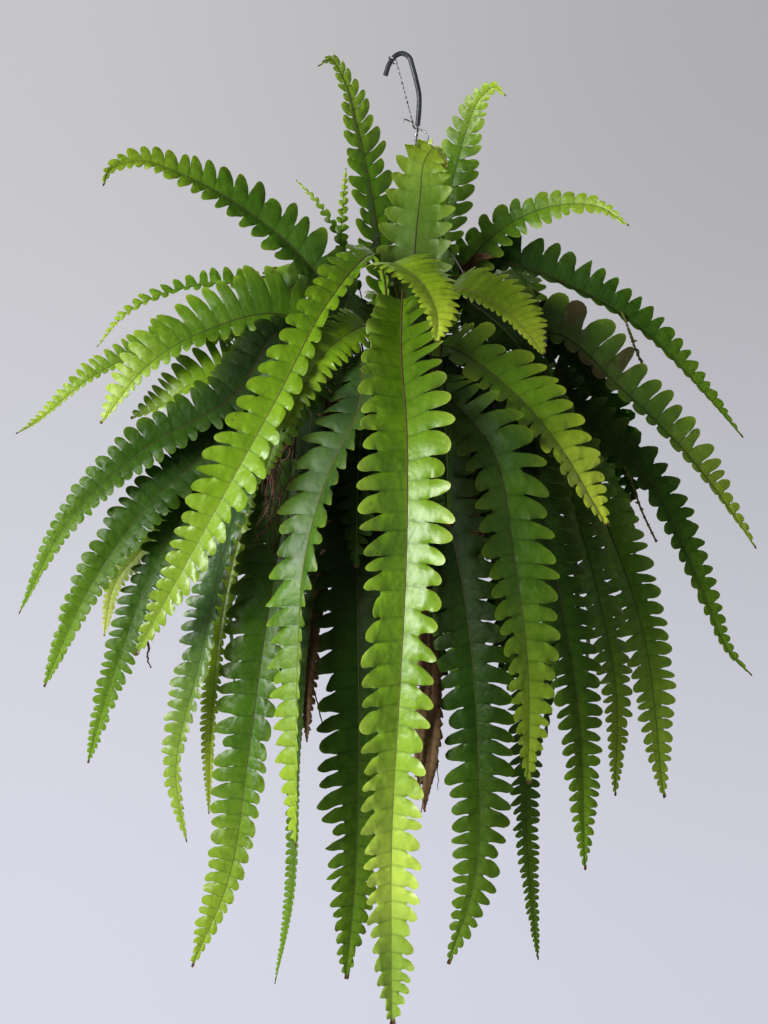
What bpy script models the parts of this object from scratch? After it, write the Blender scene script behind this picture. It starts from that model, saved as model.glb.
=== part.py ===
"""A hanging potted fern: a wire basket with a fibre liner and soil, its hanger, and some fifty fronds.

Metres, +Z up. The origin is the point under the strap's bend that rests on a hook, and the front of the fern
looks along -Y. A frond's route is given by the places where the photo shows its midrib.
"""

import math
import random
from collections import namedtuple

import bmesh
import bpy
import numpy as np
from mathutils import Matrix, Vector
from mathutils.bvhtree import BVHTree

# How a pixel of the photo becomes a place: the pot's axis stands this far from the camera
PIXEL = 0.0009
CAMERA_DISTANCE = 1.5
VIEW_ACROSS = 384
VIEW_DOWN = 512
HOOK_ACROSS = 402
HOOK_DOWN = 56

# Basket, liner and soil
RIM_Z = -0.305
RIM_RADIUS = 0.118
BASE_RADIUS = 0.068
BASKET_DEPTH = 0.14
LINER_THICKNESS = 0.008
GAP = 0.0003
SOIL_EDGE_DROP = 0.006
SOIL_DOME = 0.022
SIDES = 24
SOIL_SIDES = 12
BOWL_STEPS = 4
RIM_WIRE = 0.0022
RIB_WIRE = 0.0014
RIBS = 6
FOOT_SIDES = 12

# Fronds
STEM_WIDTH = 0.0026
STEM_THICKNESS = 0.003
BLADE_THICKNESS = 0.00075
HOLE_DEPTH = 0.009
HOLE_CLEARANCE = 0.0004
STEM_UPRIGHT = 0.004
NOTCH = 0.42
VALLEY = 0.46
DROOP = 0.36
LOBE_FRONT = 0.42
LOBE_BACK = 1.04
LOBE_POINT = 0.85
POINTED_FROM = 0.62
LAYER_STEP = 0.004
MOST_LAYERS = 40
CLEARANCE = 0.0004
ARCH_SHARE = 0.35
SHIFT_RINGS = 3
SHIFT_SPOKES = 6
SHIFT_STEP = 0.006
SOIL_REACH = 0.098

# Hanger, with the pixels of the photo that its wires pass
STRAP_RADIUS = 0.0023
TIE_RADIUS = 0.0008
LEG_RADIUS = 0.0009
TAIL_RADIUS = 0.0007
STEM_RADIUS = 0.0017
LEG_ANGLES = (90, 210, 330)
STRAP_PIXELS = [(385.4, 75.4), (389.6, 63.3), (395.5, 55.8), (402, 53.4), (408.5, 56.5), (412.5, 67),
                (416.2, 81), (419, 95), (419, 109), (417.6, 125.2)]
STEM_PIXELS = [(417.5, 126), (415, 150), (414, 170), (413, 190)]
LEG_TOP_PIXEL = (413, 186)
TIE_END_PIXEL = (414.2, 128)
WRAP_PLACE = 0.45
WRAP_TURN = 150
WRAP_STEP = 30

# Roots that come out of the basket's left side
ROOT_RADIUS = 0.0009
ROOT_STRANDS = 4
ROOT_ANGLE = 209
ROOT_SPREAD = 7
ROOT_START_DROP = 0.01
ROOT_STEP = 0.045

SEED = 11

Frond = namedtuple("Frond", "name root rise knots width pairs turn lift twist start taper kind")


def photo_frond(name, root, knots, width, pairs=9, rise=0.03, turn=0, lift=0, twist=0, start=0.12, taper=3.0,
                kind="mature"):
    """A frond of the photo. root is its place on the soil in cm: to the right, and towards the camera.

    Each knot is a pixel of the midrib, across and down, and how far it is towards the camera in cm. width is
    half the blade's, in cm. turn and lift are where the upper face looks, in degrees to the right of the
    camera and upwards. rise is how far the hidden arch stands above the soil, or None where there is none.
    """
    soil_point = Vector((root[0] / 100, -root[1] / 100, 0))
    line = [photo_point(across, down, reach / 100) for across, down, reach in knots]
    return Frond(name, soil_point, rise, line, width / 100, pairs, turn, lift, twist, start, taper, kind)


def photo_point(across, down, reach):
    """The place that the photo shows at this pixel, so far towards the camera from the pot's axis."""
    nearer = 1 - reach / CAMERA_DISTANCE
    x = (VIEW_ACROSS - HOOK_ACROSS + (across - VIEW_ACROSS) * nearer) * PIXEL
    z = (HOOK_DOWN - VIEW_DOWN - (down - VIEW_DOWN) * nearer) * PIXEL
    return Vector((x, -reach, z))


def camera_place():
    return Vector(((VIEW_ACROSS - HOOK_ACROSS) * PIXEL, -CAMERA_DISTANCE, (HOOK_DOWN - VIEW_DOWN) * PIXEL))


def hidden_fronds():
    """The dried fronds and those nearest the basket, which the others hang over."""
    return [
        photo_frond("frond_dry_left", (-5.0, 6.4), [(330, 470, 13), (318, 590, 14), (309, 650, 14),
                    (305, 705, 13)], width=1.0, pairs=6, rise=0.018, turn=-20, start=0.45, kind="dry"),
        photo_frond("frond_dry_right", (1.0, 8.6), [(420, 560, 14.5), (424, 690, 14.5), (420, 740, 14),
                    (418, 800, 13)], width=0.9, pairs=6, rise=0.018, turn=15, start=0.5, kind="dry"),
        photo_frond("frond_lower_1", (-1.8, 7.6), [(358, 470, 14), (358, 613, 15), (359, 753, 15),
                    (356, 875, 14.5), (346, 979, 14)], width=3.5, pairs=12, rise=0.016, turn=8, start=0.22,
                    kind="old"),
        photo_frond("frond_lower_2", (2.6, 6.6), [(437, 460, 14), (463, 585, 15), (478, 736, 15),
                    (473, 890, 14), (448, 964, 13)], width=3.6, pairs=12, rise=0.016, turn=-10, start=0.2,
                    kind="old"),
        photo_frond("frond_lower_4", (4.6, 6.0), [(500, 520, 13), (524, 700, 13), (527, 847, 13),
                    (538, 960, 12)], width=1.9, pairs=9, rise=0.016, turn=30, start=0.3, kind="old"),
        photo_frond("frond_front_7", (-4.0, 6.6), [(338, 450, 13), (312, 600, 14), (299, 760, 13),
                    (290, 910, 13), (275, 984, 12)], width=1.6, pairs=10, rise=0.014, turn=-35, start=0.3,
                    kind="old"),
        photo_frond("frond_left_10", (-5.8, 4.8), [(290, 480, 11), (264, 640, 12), (248, 758, 12),
                    (228, 881, 11), (192, 967, 10)], width=3.5, pairs=12, rise=0.016, turn=-15, start=0.2,
                    kind="old"),
        photo_frond("frond_lower_5", (6.4, 5.4), [(535, 480, 10), (560, 592, 12), (579, 719, 12),
                    (585, 870, 11)], width=2.8, pairs=11, rise=0.016, turn=12, start=0.2, kind="old"),
        photo_frond("frond_left_9", (-7.0, 4.0), [(248, 500, 9), (221, 625, 11), (211, 728, 11),
                    (209, 814, 10)], width=1.3, pairs=8, rise=0.014, turn=-10, start=0.3, kind="pale"),
        photo_frond("frond_lower_6", (7.6, 4.2), [(572, 500, 9), (597, 590, 10), (616, 690, 10),
                    (615, 796, 9)], width=2.3, pairs=9, rise=0.016, turn=20, start=0.22, kind="old"),
    ]


def side_fronds():
    """The fronds that arch out to the left and right, from those behind to those in front."""
    return [
        photo_frond("frond_left_7", (-8.6, 1.4), [(190, 500, 3), (147, 583, 4), (125, 643, 4), (105, 702, 3),
                    (88, 763, 2)], width=2.3, pairs=9, rise=0.018, turn=-10, lift=10, start=0.25,
                    kind="old"),
        photo_frond("frond_left_6", (-8.2, -0.4), [(200, 490, 0), (141, 551, 1), (117, 580, 1),
                    (104, 636, 0)], width=1.3, pairs=7, rise=0.03, lift=15, start=0.5, kind="pale"),
        photo_frond("frond_lower_7", (7.8, 2.6), [(560, 430, 6), (608, 528, 7), (640, 620, 7),
                    (664, 798, 6)], width=2.9, pairs=11, rise=0.024, turn=8, start=0.22, kind="mature"),
        photo_frond("frond_right_3", (8.0, 0.4), [(581, 415, 2), (648, 478, 3), (704, 592, 3),
                    (732, 655, 2), (752, 676, 2)], width=2.4, pairs=11, rise=0.028, turn=6, lift=12,
                    start=0.25, taper=2.0, kind="old"),
        photo_frond("frond_left_5", (-7.6, 2.6), [(217, 439, 4), (147, 507, 5), (91, 586, 5),
                    (44, 687, 4)], width=3.0, pairs=12, rise=0.026, turn=-6, lift=12, start=0.16,
                    taper=2.2, kind="old"),
        photo_frond("frond_left_4", (-6.6, 1.0), [(235, 395, 3), (147, 448, 4), (67, 524, 4),
                    (19, 614, 3)], width=2.9, pairs=12, rise=0.032, turn=-6, lift=18, start=0.14,
                    taper=2.0, kind="mature"),
        photo_frond("frond_left_3", (-6.2, -1.2), [(252, 369, 0), (191, 384, 1), (164, 404, 1),
                    (131, 419, 1)], width=2.4, pairs=8, rise=0.036, lift=30, start=0.2, kind="mature"),
        photo_frond("frond_right_1", (5.8, -2.0), [(497, 265, -3), (575, 287, -3), (638, 325, -2),
                    (699, 386, -1), (743, 438, 0)], width=2.5, pairs=12, rise=None, turn=4, lift=20,
                    start=0.2, taper=1.9, kind="old"),
        photo_frond("frond_right_2", (6.6, 1.0), [(552, 333, 2), (623, 390, 3), (690, 457, 4),
                    (733, 514, 4), (756, 549, 4)], width=2.9, pairs=12, rise=None, turn=4, lift=15,
                    start=0.18, taper=2.0, kind="stained"),
        photo_frond("frond_crown_6", (4.4, -3.4), [(475, 254, -4), (514, 221, -4), (560, 205, -3),
                    (600, 207, -2), (629, 226, -1)], width=2.8, pairs=10, rise=None, lift=28, start=0.2,
                    taper=1.9, kind="young"),
        photo_frond("frond_left_1", (-4.6, -3.2), [(239, 284, -5), (180, 289, -5), (127, 313, -4),
                    (97, 347, -3)], width=2.0, pairs=9, rise=None, lift=35, start=0.35, taper=2.0,
                    kind="young"),
        photo_frond("frond_left_2_behind", (-5.6, -2.2), [(250, 330, -3), (170, 342, -3), (90, 378, -2),
                    (32, 425, -1), (16, 434, 0)], width=2.3, pairs=11, rise=0.04, lift=28, start=0.2,
                    taper=1.8, kind="young"),
        photo_frond("frond_crown_4", (-3.4, -3.6), [(310, 267, -4), (249, 212, -4), (186, 176, -3),
                    (138, 161, -2), (110, 171, -1), (103, 186, 0)], width=3.5, pairs=12, rise=None,
                    lift=30, start=0.18, taper=2.0, kind="mature"),
        photo_frond("frond_left_2", (-4.8, 0.0), [(287, 316, 0), (205, 331, 1), (147, 366, 2),
                    (101, 424, 2)], width=2.8, pairs=11, rise=None, lift=26, start=0.14, taper=2.2,
                    kind="young"),
    ]


def crown_fronds():
    """The upright fronds and the young ones in the middle."""
    return [
        photo_frond("frond_crown_5", (-1.8, -4.4), [(342, 256, -5), (344, 193, -5), (346, 168, -5)], width=1.0,
                    pairs=6, rise=None, turn=10, start=0.4, kind="young"),
        photo_frond("frond_crown_7", (-2.8, -4.8), [(338, 235, -6), (317, 202, -6), (296, 180, -6)], width=1.1,
                    pairs=6, rise=None, turn=0, lift=10, start=0.45, kind="young"),
        photo_frond("frond_crown_1", (-1.0, -2.8), [(385, 290, -3), (370, 187, -4), (357, 125, -4),
                    (344, 80, -3), (331, 60, -2), (318, 66, -1)], width=3.0, pairs=11, rise=None, turn=30,
                    start=0.2, taper=2.0, kind="young"),
        photo_frond("frond_crown_2", (2.0, -2.8), [(430, 290, -3), (454, 175, -4), (466, 132, -4),
                    (479, 100, -3), (494, 87, -2), (506, 96, -1)], width=2.5, pairs=10, rise=None, turn=-15,
                    start=0.3, taper=1.9, kind="young"),
        photo_frond("frond_crown_3", (0.9, -1.0), [(414, 268, 1), (416, 232, 1), (420, 196, 0.6),
                    (424, 162, 0.8), (434, 148, 2.6), (446, 164, 4.5)], width=3.4, pairs=9, rise=None,
                    turn=180, start=0.3, taper=4.0, kind="fresh"),
    ]


def front_fronds():
    """The fronds that hang towards the camera, from those behind to those in front."""
    return [
        photo_frond("frond_left_8", (-6.0, 3.0), [(262, 440, 9), (227, 540, 12), (200, 660, 12),
                    (176, 779, 11), (187, 842, 10)], width=2.7, pairs=12, rise=0.03, turn=-25, start=0.2,
                    kind="blue"),
        photo_frond("frond_front_4", (-2.4, 7.2), [(358, 411, 14), (327, 478, 15), (304, 564, 16),
                    (298, 651, 16), (296, 753, 16), (296, 847, 15)], width=3.5, pairs=13, rise=0.012,
                    turn=-42, start=0.15, kind="blue"),
        photo_frond("frond_front_6", (-3.6, 5.6), [(321, 382, 10), (298, 403, 12), (276, 440, 12.5),
                    (262, 480, 12.5)], width=2.0, pairs=7, rise=0.02, turn=-10, lift=0, start=0.3,
                    kind="old"),
        photo_frond("frond_lower_3", (3.2, 5.2), [(447, 393, 13), (490, 446, 15), (514, 558, 16),
                    (528, 671, 16), (528, 784, 15)], width=3.4, pairs=12, rise=0.024, turn=10, start=0.14,
                    kind="mature"),
        photo_frond("frond_front_5", (-2.8, 3.0), [(354, 330, 8), (319, 360, 11), (300, 395, 12),
                    (283, 432, 12)], width=2.4, pairs=7, rise=None, turn=-10, start=0.25, kind="fresh"),
        photo_frond("frond_right_4", (3.4, 3.2), [(443, 346, 10), (513, 392, 14), (564, 453, 16),
                    (594, 504, 16), (607, 526, 16)], width=4.1, pairs=10, rise=None, turn=25, lift=15,
                    start=0.2, taper=2.6, kind="fresh"),
        photo_frond("frond_right_5", (2.8, 1.0), [(460, 289, 5), (502, 308, 7), (534, 342, 9),
                    (543, 355, 9)], width=2.6, pairs=7, rise=None, turn=0, lift=35, start=0.35, taper=3.0,
                    kind="fresh"),
        photo_frond("frond_front_2", (0.2, 5.2), [(401, 345, 9), (407, 442, 15), (406, 564, 17),
                    (400, 684, 18), (392, 826, 17), (392, 1026, 15)], width=3.8, pairs=14, rise=0.03, turn=0,
                    start=0.08, taper=3.2, kind="fresh"),
        photo_frond("frond_front_3", (-1.2, 1.4), [(378, 257, 4), (327, 304, 12), (277, 398, 16),
                    (226, 491, 17), (187, 562, 16), (136, 655, 14)], width=3.6, pairs=14, rise=None,
                    turn=-8, lift=12, start=0.14, taper=2.8, kind="fresh"),
        photo_frond("frond_front_1", (0.6, 2.0), [(394, 263, 7), (428, 291, 11), (438, 325, 13),
                    (436, 342, 13)], width=2.2, pairs=6, rise=None, turn=10, lift=20, start=0.45,
                    taper=3.0, kind="fresh"),
    ]


# The fronds at the back, in tiers: how they start on the soil, arch and hang, in metres from the axis
Tier = namedtuple("Tier", "root_radius reach heights first last count width pairs rise kind")
BACK_TIERS = [
    Tier(0.09, (0.15, 0.165, 0.16), (-0.36, -0.48, -0.60), -6, 186, 6, 3.4, 10, 0.018, "old"),
    Tier(0.07, (0.15, 0.215, 0.235), (-0.285, -0.38, -0.50), 22, 158, 5, 3.3, 10, 0.034, "mature"),
    Tier(0.05, (0.10, 0.18, 0.25), (-0.20, -0.175, -0.25), 50, 130, 3, 3.0, 9, None, "young"),
]


def back_fronds():
    """Fronds round the back by a rule, with small seeded differences between them."""
    draw = random.Random(SEED)
    made = []
    for tier in BACK_TIERS:
        for index in range(tier.count):
            share = index / (tier.count - 1)
            angle = math.radians(tier.first + (tier.last - tier.first) * share + draw.uniform(-3, 3))
            away = Vector((math.cos(angle), math.sin(angle), 0))
            longer = draw.uniform(0.93, 1.06)
            line = [away * reach * longer + Vector((0, 0, height * longer))
                    for reach, height in zip(tier.reach, tier.heights)]
            turn = math.degrees(math.atan2(away.x, -away.y))
            made.append(Frond(f"frond_back_{len(made) + 1}", away * tier.root_radius, tier.rise, line,
                              tier.width / 100, tier.pairs, turn, 15, draw.uniform(-15, 15), 0.2, 2.6,
                              tier.kind))
    return made


def all_fronds():
    """Every frond, in the order in which they are laid over each other."""
    return hidden_fronds() + back_fronds() + side_fronds() + crown_fronds() + front_fronds()


def soil_height(radius):
    edge = RIM_Z - SOIL_EDGE_DROP
    return edge + SOIL_DOME * (1 - (radius / (RIM_RADIUS - LINER_THICKNESS)) ** 2)


def smooth_path(knots, start_direction, steps=10):
    """Points of a smooth curve through the knots, which leaves the first one in the given direction."""
    knots = np.array([tuple(knot) for knot in knots])
    times = np.concatenate([[0], np.cumsum(np.linalg.norm(np.diff(knots, axis=0), axis=1))])
    slopes = np.gradient(knots, times, axis=0)
    slopes[0] = start_direction
    points = []
    for index in range(len(knots) - 1):
        span = times[index + 1] - times[index]
        for share in np.arange(steps) / steps:
            ease = share * share * (3 - 2 * share)
            lead = share * (1 - share) ** 2 * span
            trail = share ** 2 * (share - 1) * span
            point = knots[index] * (1 - ease) + knots[index + 1] * ease
            points.append(point + slopes[index] * lead + slopes[index + 1] * trail)
    points.append(knots[-1])
    return np.array(points)


class Rib:
    """The line of a midrib, with the way across the blade and the way its upper face looks at each place."""

    def __init__(self, points, facing, twist):
        steps = np.linalg.norm(np.diff(points, axis=0), axis=1)
        lengths = np.concatenate([[0], np.cumsum(steps)])
        self.length = lengths[-1]
        self.shares = lengths / self.length
        self.points = points
        tangents = np.gradient(points, lengths, axis=0)
        tangents /= np.linalg.norm(tangents, axis=1)[:, None]
        normals = np.zeros_like(points)
        middle = int(np.searchsorted(self.shares, 0.5))
        normals[middle] = square_to(np.array(facing), tangents[middle])
        for index in range(middle + 1, len(points)):
            normals[index] = square_to(normals[index - 1], tangents[index])
        for index in range(middle - 1, -1, -1):
            normals[index] = square_to(normals[index + 1], tangents[index])
        across = np.cross(tangents, normals)
        angles = np.radians(twist) * (self.shares - 0.5)[:, None]
        self.normals = normals * np.cos(angles) + across * np.sin(angles)
        self.across = np.cross(tangents, self.normals)

    def at(self, share):
        """The point, the way across and the way up at this share of the length."""
        found = [np.array([np.interp(share, self.shares, values[:, axis]) for axis in range(3)])
                 for values in (self.points, self.across, self.normals)]
        return found[0], found[1] / np.linalg.norm(found[1]), found[2] / np.linalg.norm(found[2])


def square_to(vector, direction):
    """The vector without its part along a direction, at length 1."""
    rest = vector - direction * np.dot(vector, direction)
    return rest / np.linalg.norm(rest)


def rib_of(frond, out):
    """The midrib of a frond whose blade is moved out by so much: to the camera in front, or from the axis."""
    root = frond.root.copy()
    root.z = soil_height(root.length)
    knots = [moved_out(knot, out, frond.name) for knot in frond.knots]
    foot = root + Vector((0, 0, STEM_UPRIGHT))
    hidden = [foot]
    if frond.rise is not None:
        arch = foot.lerp(knots[0], 0.5)
        arch.z = max(foot.z, knots[0].z) + frond.rise + out * ARCH_SHARE
        hidden.append(arch)
    bend = smooth_path(hidden + knots, (0, 0, 1))
    stem_end = np.array((root.x, root.y, root.z - HOLE_DEPTH))
    turn = math.radians(frond.turn)
    lift = math.radians(frond.lift)
    facing = (math.sin(turn) * math.cos(lift), -math.cos(turn) * math.cos(lift), math.sin(lift))
    return Rib(np.vstack([stem_end, bend]), facing, frond.twist)


def moved_out(knot, out, name):
    """A knot moved out. In front it keeps its place in the photo, because it moves along the line of sight."""
    if name.startswith("frond_back"):
        away = Vector((knot.x, knot.y, 0)).normalized()
        return knot + away * out
    sight = camera_place() - knot
    return knot + sight * (out / -sight.y)


def width_at(frond, share):
    """Half the blade's width, as a share of the most, at this share of the blade's length."""
    swell = min(1, 0.5 + 0.5 * math.sin(min(share / 0.2, 1) * math.pi / 2))
    return swell * (1 - share ** frond.taper) ** 0.8


def lobe_places(frond):
    """Where the lobes begin along the blade: they are shorter where the blade is narrower."""
    shares = np.linspace(0, 1, 80)
    widths = np.array([width_at(frond, share) for share in shares])
    crowding = 1 / (0.35 + 0.65 * widths)
    counted = np.concatenate([[0], np.cumsum((crowding[1:] + crowding[:-1]) / 2)])
    return np.interp(np.arange(frond.pairs + 1) / frond.pairs, counted / counted[-1], shares)


def frond_sheet(frond, rib):
    """A frond as an open sheet: its stem, then lobes in pairs cut down to NOTCH of the half width."""
    sheet = bmesh.new()
    weights = sheet.verts.layers.deform.verify()

    def corner(share, sideways, half_width, weight):
        point, across, up = rib.at(share)
        rise = (VALLEY * abs(sideways) - DROOP * sideways ** 2) * half_width
        vertex = sheet.verts.new(point + across * sideways * half_width + up * rise)
        vertex[weights][0] = weight
        return vertex

    stem_half = STEM_WIDTH / 2
    soil_share = (HOLE_DEPTH + STEM_UPRIGHT) / rib.length
    stem_shares = [0, soil_share, (soil_share + frond.start) / 2]
    edges = []
    for share in stem_shares:
        point, across, _ = rib.at(share)
        pair = []
        for side in (1, -1):
            vertex = sheet.verts.new(point + across * side * stem_half)
            vertex[weights][0] = 1
            pair.append(vertex)
        edges.append(pair)
    for low, high in zip(edges, edges[1:]):
        sheet.faces.new((low[0], low[1], high[1], high[0]))

    places = lobe_places(frond)
    spread = 1 - frond.start
    middles = []
    notches = {1: [], -1: []}
    for index, place in enumerate(places):
        share = frond.start + place * spread
        half_width = frond.width * width_at(frond, place)
        last = index == frond.pairs
        middles.append(corner(share, 0, 0, 0.15 if last else 0.9 - 0.6 * place))
        if last:
            break
        for side in (1, -1):
            if index == 0:
                notches[side].append(corner(share, side, stem_half, 0.8))
            else:
                notches[side].append(corner(share, side * NOTCH, half_width, 0))
    sheet.faces.new((edges[-1][0], edges[-1][1], notches[-1][0], middles[0], notches[1][0]))

    for index in range(frond.pairs - 1):
        here = places[index]
        pitch = places[index + 1] - here
        middle_width = frond.width * width_at(frond, here + pitch / 2)
        ends = (LOBE_BACK, LOBE_FRONT) if here < POINTED_FROM else (LOBE_POINT,)
        for side in (1, -1):
            edge = [corner(frond.start + (here + pitch * end) * spread, side, middle_width, 0) for end in ends]
            root, tip = notches[side][index], notches[side][index + 1]
            inner = [middles[index], middles[index + 1], tip, root]
            outer = [root, tip] + edge
            for face in (inner, outer):
                sheet.faces.new(face if side == 1 else face[::-1])
    for side in (1, -1):
        end = (middles[-2], middles[-1], notches[side][-1])
        sheet.faces.new(end if side == 1 else end[::-1])
    bmesh.ops.triangulate(sheet, faces=sheet.faces)
    sheet.normal_update()
    return sheet


def thick_shape(sheet):
    """The points and faces of a frond with its thickness, and with CLEARANCE more on either face."""
    sheet.verts.index_update()
    weights = sheet.verts.layers.deform.active
    count = len(sheet.verts)
    above = []
    below = []
    for vertex in sheet.verts:
        thickness = BLADE_THICKNESS + (STEM_THICKNESS - BLADE_THICKNESS) * vertex[weights][0]
        aside = vertex.normal * (thickness / 2 + CLEARANCE)
        above.append(vertex.co + aside)
        below.append(vertex.co - aside)
    points = above + below
    faces = []
    for face in sheet.faces:
        corners = [vertex.index for vertex in face.verts]
        faces.append(corners)
        faces.append([corner + count for corner in corners])
    for edge in sheet.edges:
        if edge.is_boundary:
            first, second = (vertex.index for vertex in edge.verts)
            faces.append([first, second, second + count, first + count])
    return points, faces


class Placed:
    """What is in place so far, so that the next frond can be laid clear of it."""

    def __init__(self):
        self.points = []
        self.faces = []
        self.tree = None

    def add(self, points, faces):
        start = len(self.points)
        self.points += points
        self.faces += [[start + corner for corner in face] for face in faces]
        self.tree = BVHTree.FromPolygons(self.points, self.faces)

    def clears(self, points, faces):
        return not self.tree.overlap(BVHTree.FromPolygons(points, faces))


def root_shifts():
    """Small moves of a stem's foot on the soil, the nearest first."""
    moves = [Vector((0, 0, 0))]
    for ring_number in range(1, SHIFT_RINGS + 1):
        for index in range(SHIFT_SPOKES):
            angle = math.tau * (index + ring_number / 2) / SHIFT_SPOKES
            moves.append(Vector((math.cos(angle), math.sin(angle), 0)) * SHIFT_STEP * ring_number)
    return moves


def settled_sheet(frond, placed):
    """The frond laid over those before it: its foot moves a little, and its blade out, until it clears them."""
    for layer in range(MOST_LAYERS):
        for shift in root_shifts():
            moved = frond._replace(root=frond.root + shift)
            if moved.root.length > SOIL_REACH:
                continue
            rib = rib_of(moved, layer * LAYER_STEP)
            sheet = frond_sheet(moved, rib)
            points, faces = thick_shape(sheet)
            if placed.clears(points, faces):
                placed.add(points, faces)
                return sheet, rib
            sheet.free()
    raise ValueError(f"{frond.name} finds no clear place")


def bowl(offset):
    """The basket's outline from rim to foot, moved outwards by offset: pairs of radius and height."""
    across = RIM_RADIUS - BASE_RADIUS
    outline = []
    for step in range(BOWL_STEPS + 1):
        angle = step / BOWL_STEPS * math.pi / 2
        normal = Vector((BASKET_DEPTH * math.cos(angle), across * math.sin(angle))).normalized()
        radius = BASE_RADIUS + across * math.cos(angle) + normal.x * offset
        outline.append((radius, RIM_Z - BASKET_DEPTH * math.sin(angle) - normal.y * offset))
    return outline


def turned(name, profile, sides, collection, material):
    """A solid turned from a profile of radius and height, which runs down its outer side."""
    mesh = bpy.data.meshes.new(name)
    points = [(radius, 0, height) for radius, height in profile]
    mesh.from_pydata(points, [(index, index + 1) for index in range(len(points) - 1)], [])
    made = add_object(name, mesh, collection, material)
    screw = made.modifiers.new("turn", "SCREW")
    screw.steps = sides
    screw.render_steps = sides
    screw.use_merge_vertices = True
    screw.merge_threshold = 0.00001
    return made


def add_object(name, mesh, collection, material):
    made = bpy.data.objects.new(name, mesh)
    collection.objects.link(made)
    if material is not None:
        mesh.materials.append(material)
    return made


def make_material(name, colour, roughness, metallic=0.0):
    material = bpy.data.materials.new(name)
    material.use_nodes = True
    surface = material.node_tree.nodes["Principled BSDF"]
    surface.inputs["Base Color"].default_value = (*colour, 1)
    surface.inputs["Roughness"].default_value = roughness
    surface.inputs["Metallic"].default_value = metallic
    return material


def wire_mesh(name, points, radius, sides_level=0, closed=False):
    """A round wire along the points, as a closed mesh."""
    curve = bpy.data.curves.new(name, "CURVE")
    curve.dimensions = "3D"
    curve.bevel_depth = radius
    curve.bevel_resolution = sides_level
    curve.use_fill_caps = True
    line = curve.splines.new("POLY")
    line.points.add(len(points) - 1)
    for place, point in zip(line.points, points):
        place.co = (*point, 1)
    line.use_cyclic_u = closed
    guide = bpy.data.objects.new(name, curve)
    bpy.context.scene.collection.objects.link(guide)
    graph = bpy.context.evaluated_depsgraph_get()
    mesh = bpy.data.meshes.new_from_object(guide.evaluated_get(graph))
    bpy.data.objects.remove(guide)
    bpy.data.curves.remove(curve)
    tidy = bmesh.new()
    tidy.from_mesh(mesh)
    bmesh.ops.remove_doubles(tidy, verts=tidy.verts, dist=0.00001)
    bmesh.ops.recalc_face_normals(tidy, faces=tidy.faces)
    tidy.to_mesh(mesh)
    tidy.free()
    return mesh


def joined(name, meshes, collection, material):
    """One solid out of several that overlap, by a Boolean union."""
    pieces = bpy.data.collections.new(name + "_pieces")
    bpy.context.scene.collection.children.link(pieces)
    for mesh in meshes[1:]:
        pieces.objects.link(bpy.data.objects.new(mesh.name, mesh))
    made = add_object(name, meshes[0], collection, material)
    union = made.modifiers.new("join", "BOOLEAN")
    union.operation = "UNION"
    union.operand_type = "COLLECTION"
    union.collection = pieces
    union.solver = "EXACT"
    graph = bpy.context.evaluated_depsgraph_get()
    mesh = bpy.data.meshes.new_from_object(made.evaluated_get(graph))
    made.modifiers.remove(union)
    made.data = mesh
    for piece in list(pieces.objects):
        bpy.data.objects.remove(piece)
    bpy.data.collections.remove(pieces)
    return made


def ring(radius, height, sides=SIDES):
    angles = [math.tau * index / sides for index in range(sides)]
    return [(radius * math.cos(angle), radius * math.sin(angle), height) for angle in angles]


def basket_wires():
    """The rim ring, the foot ring and the ribs between them, which overlap where they are welded."""
    rim_radius = RIM_RADIUS + RIM_WIRE + GAP * 3
    outline = bowl(RIB_WIRE + GAP * 2)
    foot_radius, foot_height = BASE_RADIUS * 0.8, outline[-1][1]
    wires = [wire_mesh("rim_ring", ring(rim_radius, RIM_Z), RIM_WIRE, closed=True)]
    wires.append(wire_mesh("foot_ring", ring(foot_radius, foot_height, FOOT_SIDES), RIB_WIRE,
                           closed=True))
    for index in range(RIBS):
        angle = math.tau * index / RIBS
        inward = [(rim_radius, RIM_Z)] + outline[1:] + [(foot_radius - RIB_WIRE * 0.5, foot_height)]
        points = [(radius * math.cos(angle), radius * math.sin(angle), height) for radius, height in inward]
        wires.append(wire_mesh(f"rib_{index}", points, RIB_WIRE))
    return wires


def pixel_line(pixels):
    """The places of some pixels of the photo, all of them as far off as the pot's axis."""
    return [photo_point(across, down, 0) for across, down in pixels]


def leg_line(angle):
    """One leg of the hanger, from inside the twisted stem down to a small hook under the rim ring."""
    rim_radius = RIM_RADIUS + RIM_WIRE + GAP * 3
    away = Vector((math.cos(angle), math.sin(angle), 0))
    under = RIM_WIRE + LEG_RADIUS + GAP * 2
    ring_centre = away * rim_radius + Vector((0, 0, RIM_Z))
    top = photo_point(*LEG_TOP_PIXEL, 0)
    points = [top, ring_centre + away * under + Vector((0, 0, under * 1.4))]
    for turn in (0, -45, -90, -135):
        along = math.radians(turn)
        points.append(ring_centre + (away * math.cos(along) + Vector((0, 0, math.sin(along)))) * under)
    return points


def hanger_wires():
    """The twisted stem, the two curled tails at its top and the three legs, in one piece."""
    left_tail = [photo_point(417.4, 129, 0), photo_point(414.5, 128, 0.0036), photo_point(409, 121, 0.004),
                 photo_point(404, 119.5, 0.004), photo_point(402.5, 122.5, 0.0035)]
    right_tail = [photo_point(417.5, 129, 0), photo_point(424, 131, 0.001), photo_point(428, 138, 0.002),
                  photo_point(426.5, 145, 0.003)]
    wires = [wire_mesh("stem", pixel_line(STEM_PIXELS), STEM_RADIUS, 1)]
    wires.append(wire_mesh("left_tail", left_tail, TAIL_RADIUS))
    wires.append(wire_mesh("right_tail", right_tail, TAIL_RADIUS))
    for angle in LEG_ANGLES:
        wires.append(wire_mesh(f"leg_{angle}", leg_line(math.radians(angle)), LEG_RADIUS))
    return wires


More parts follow.
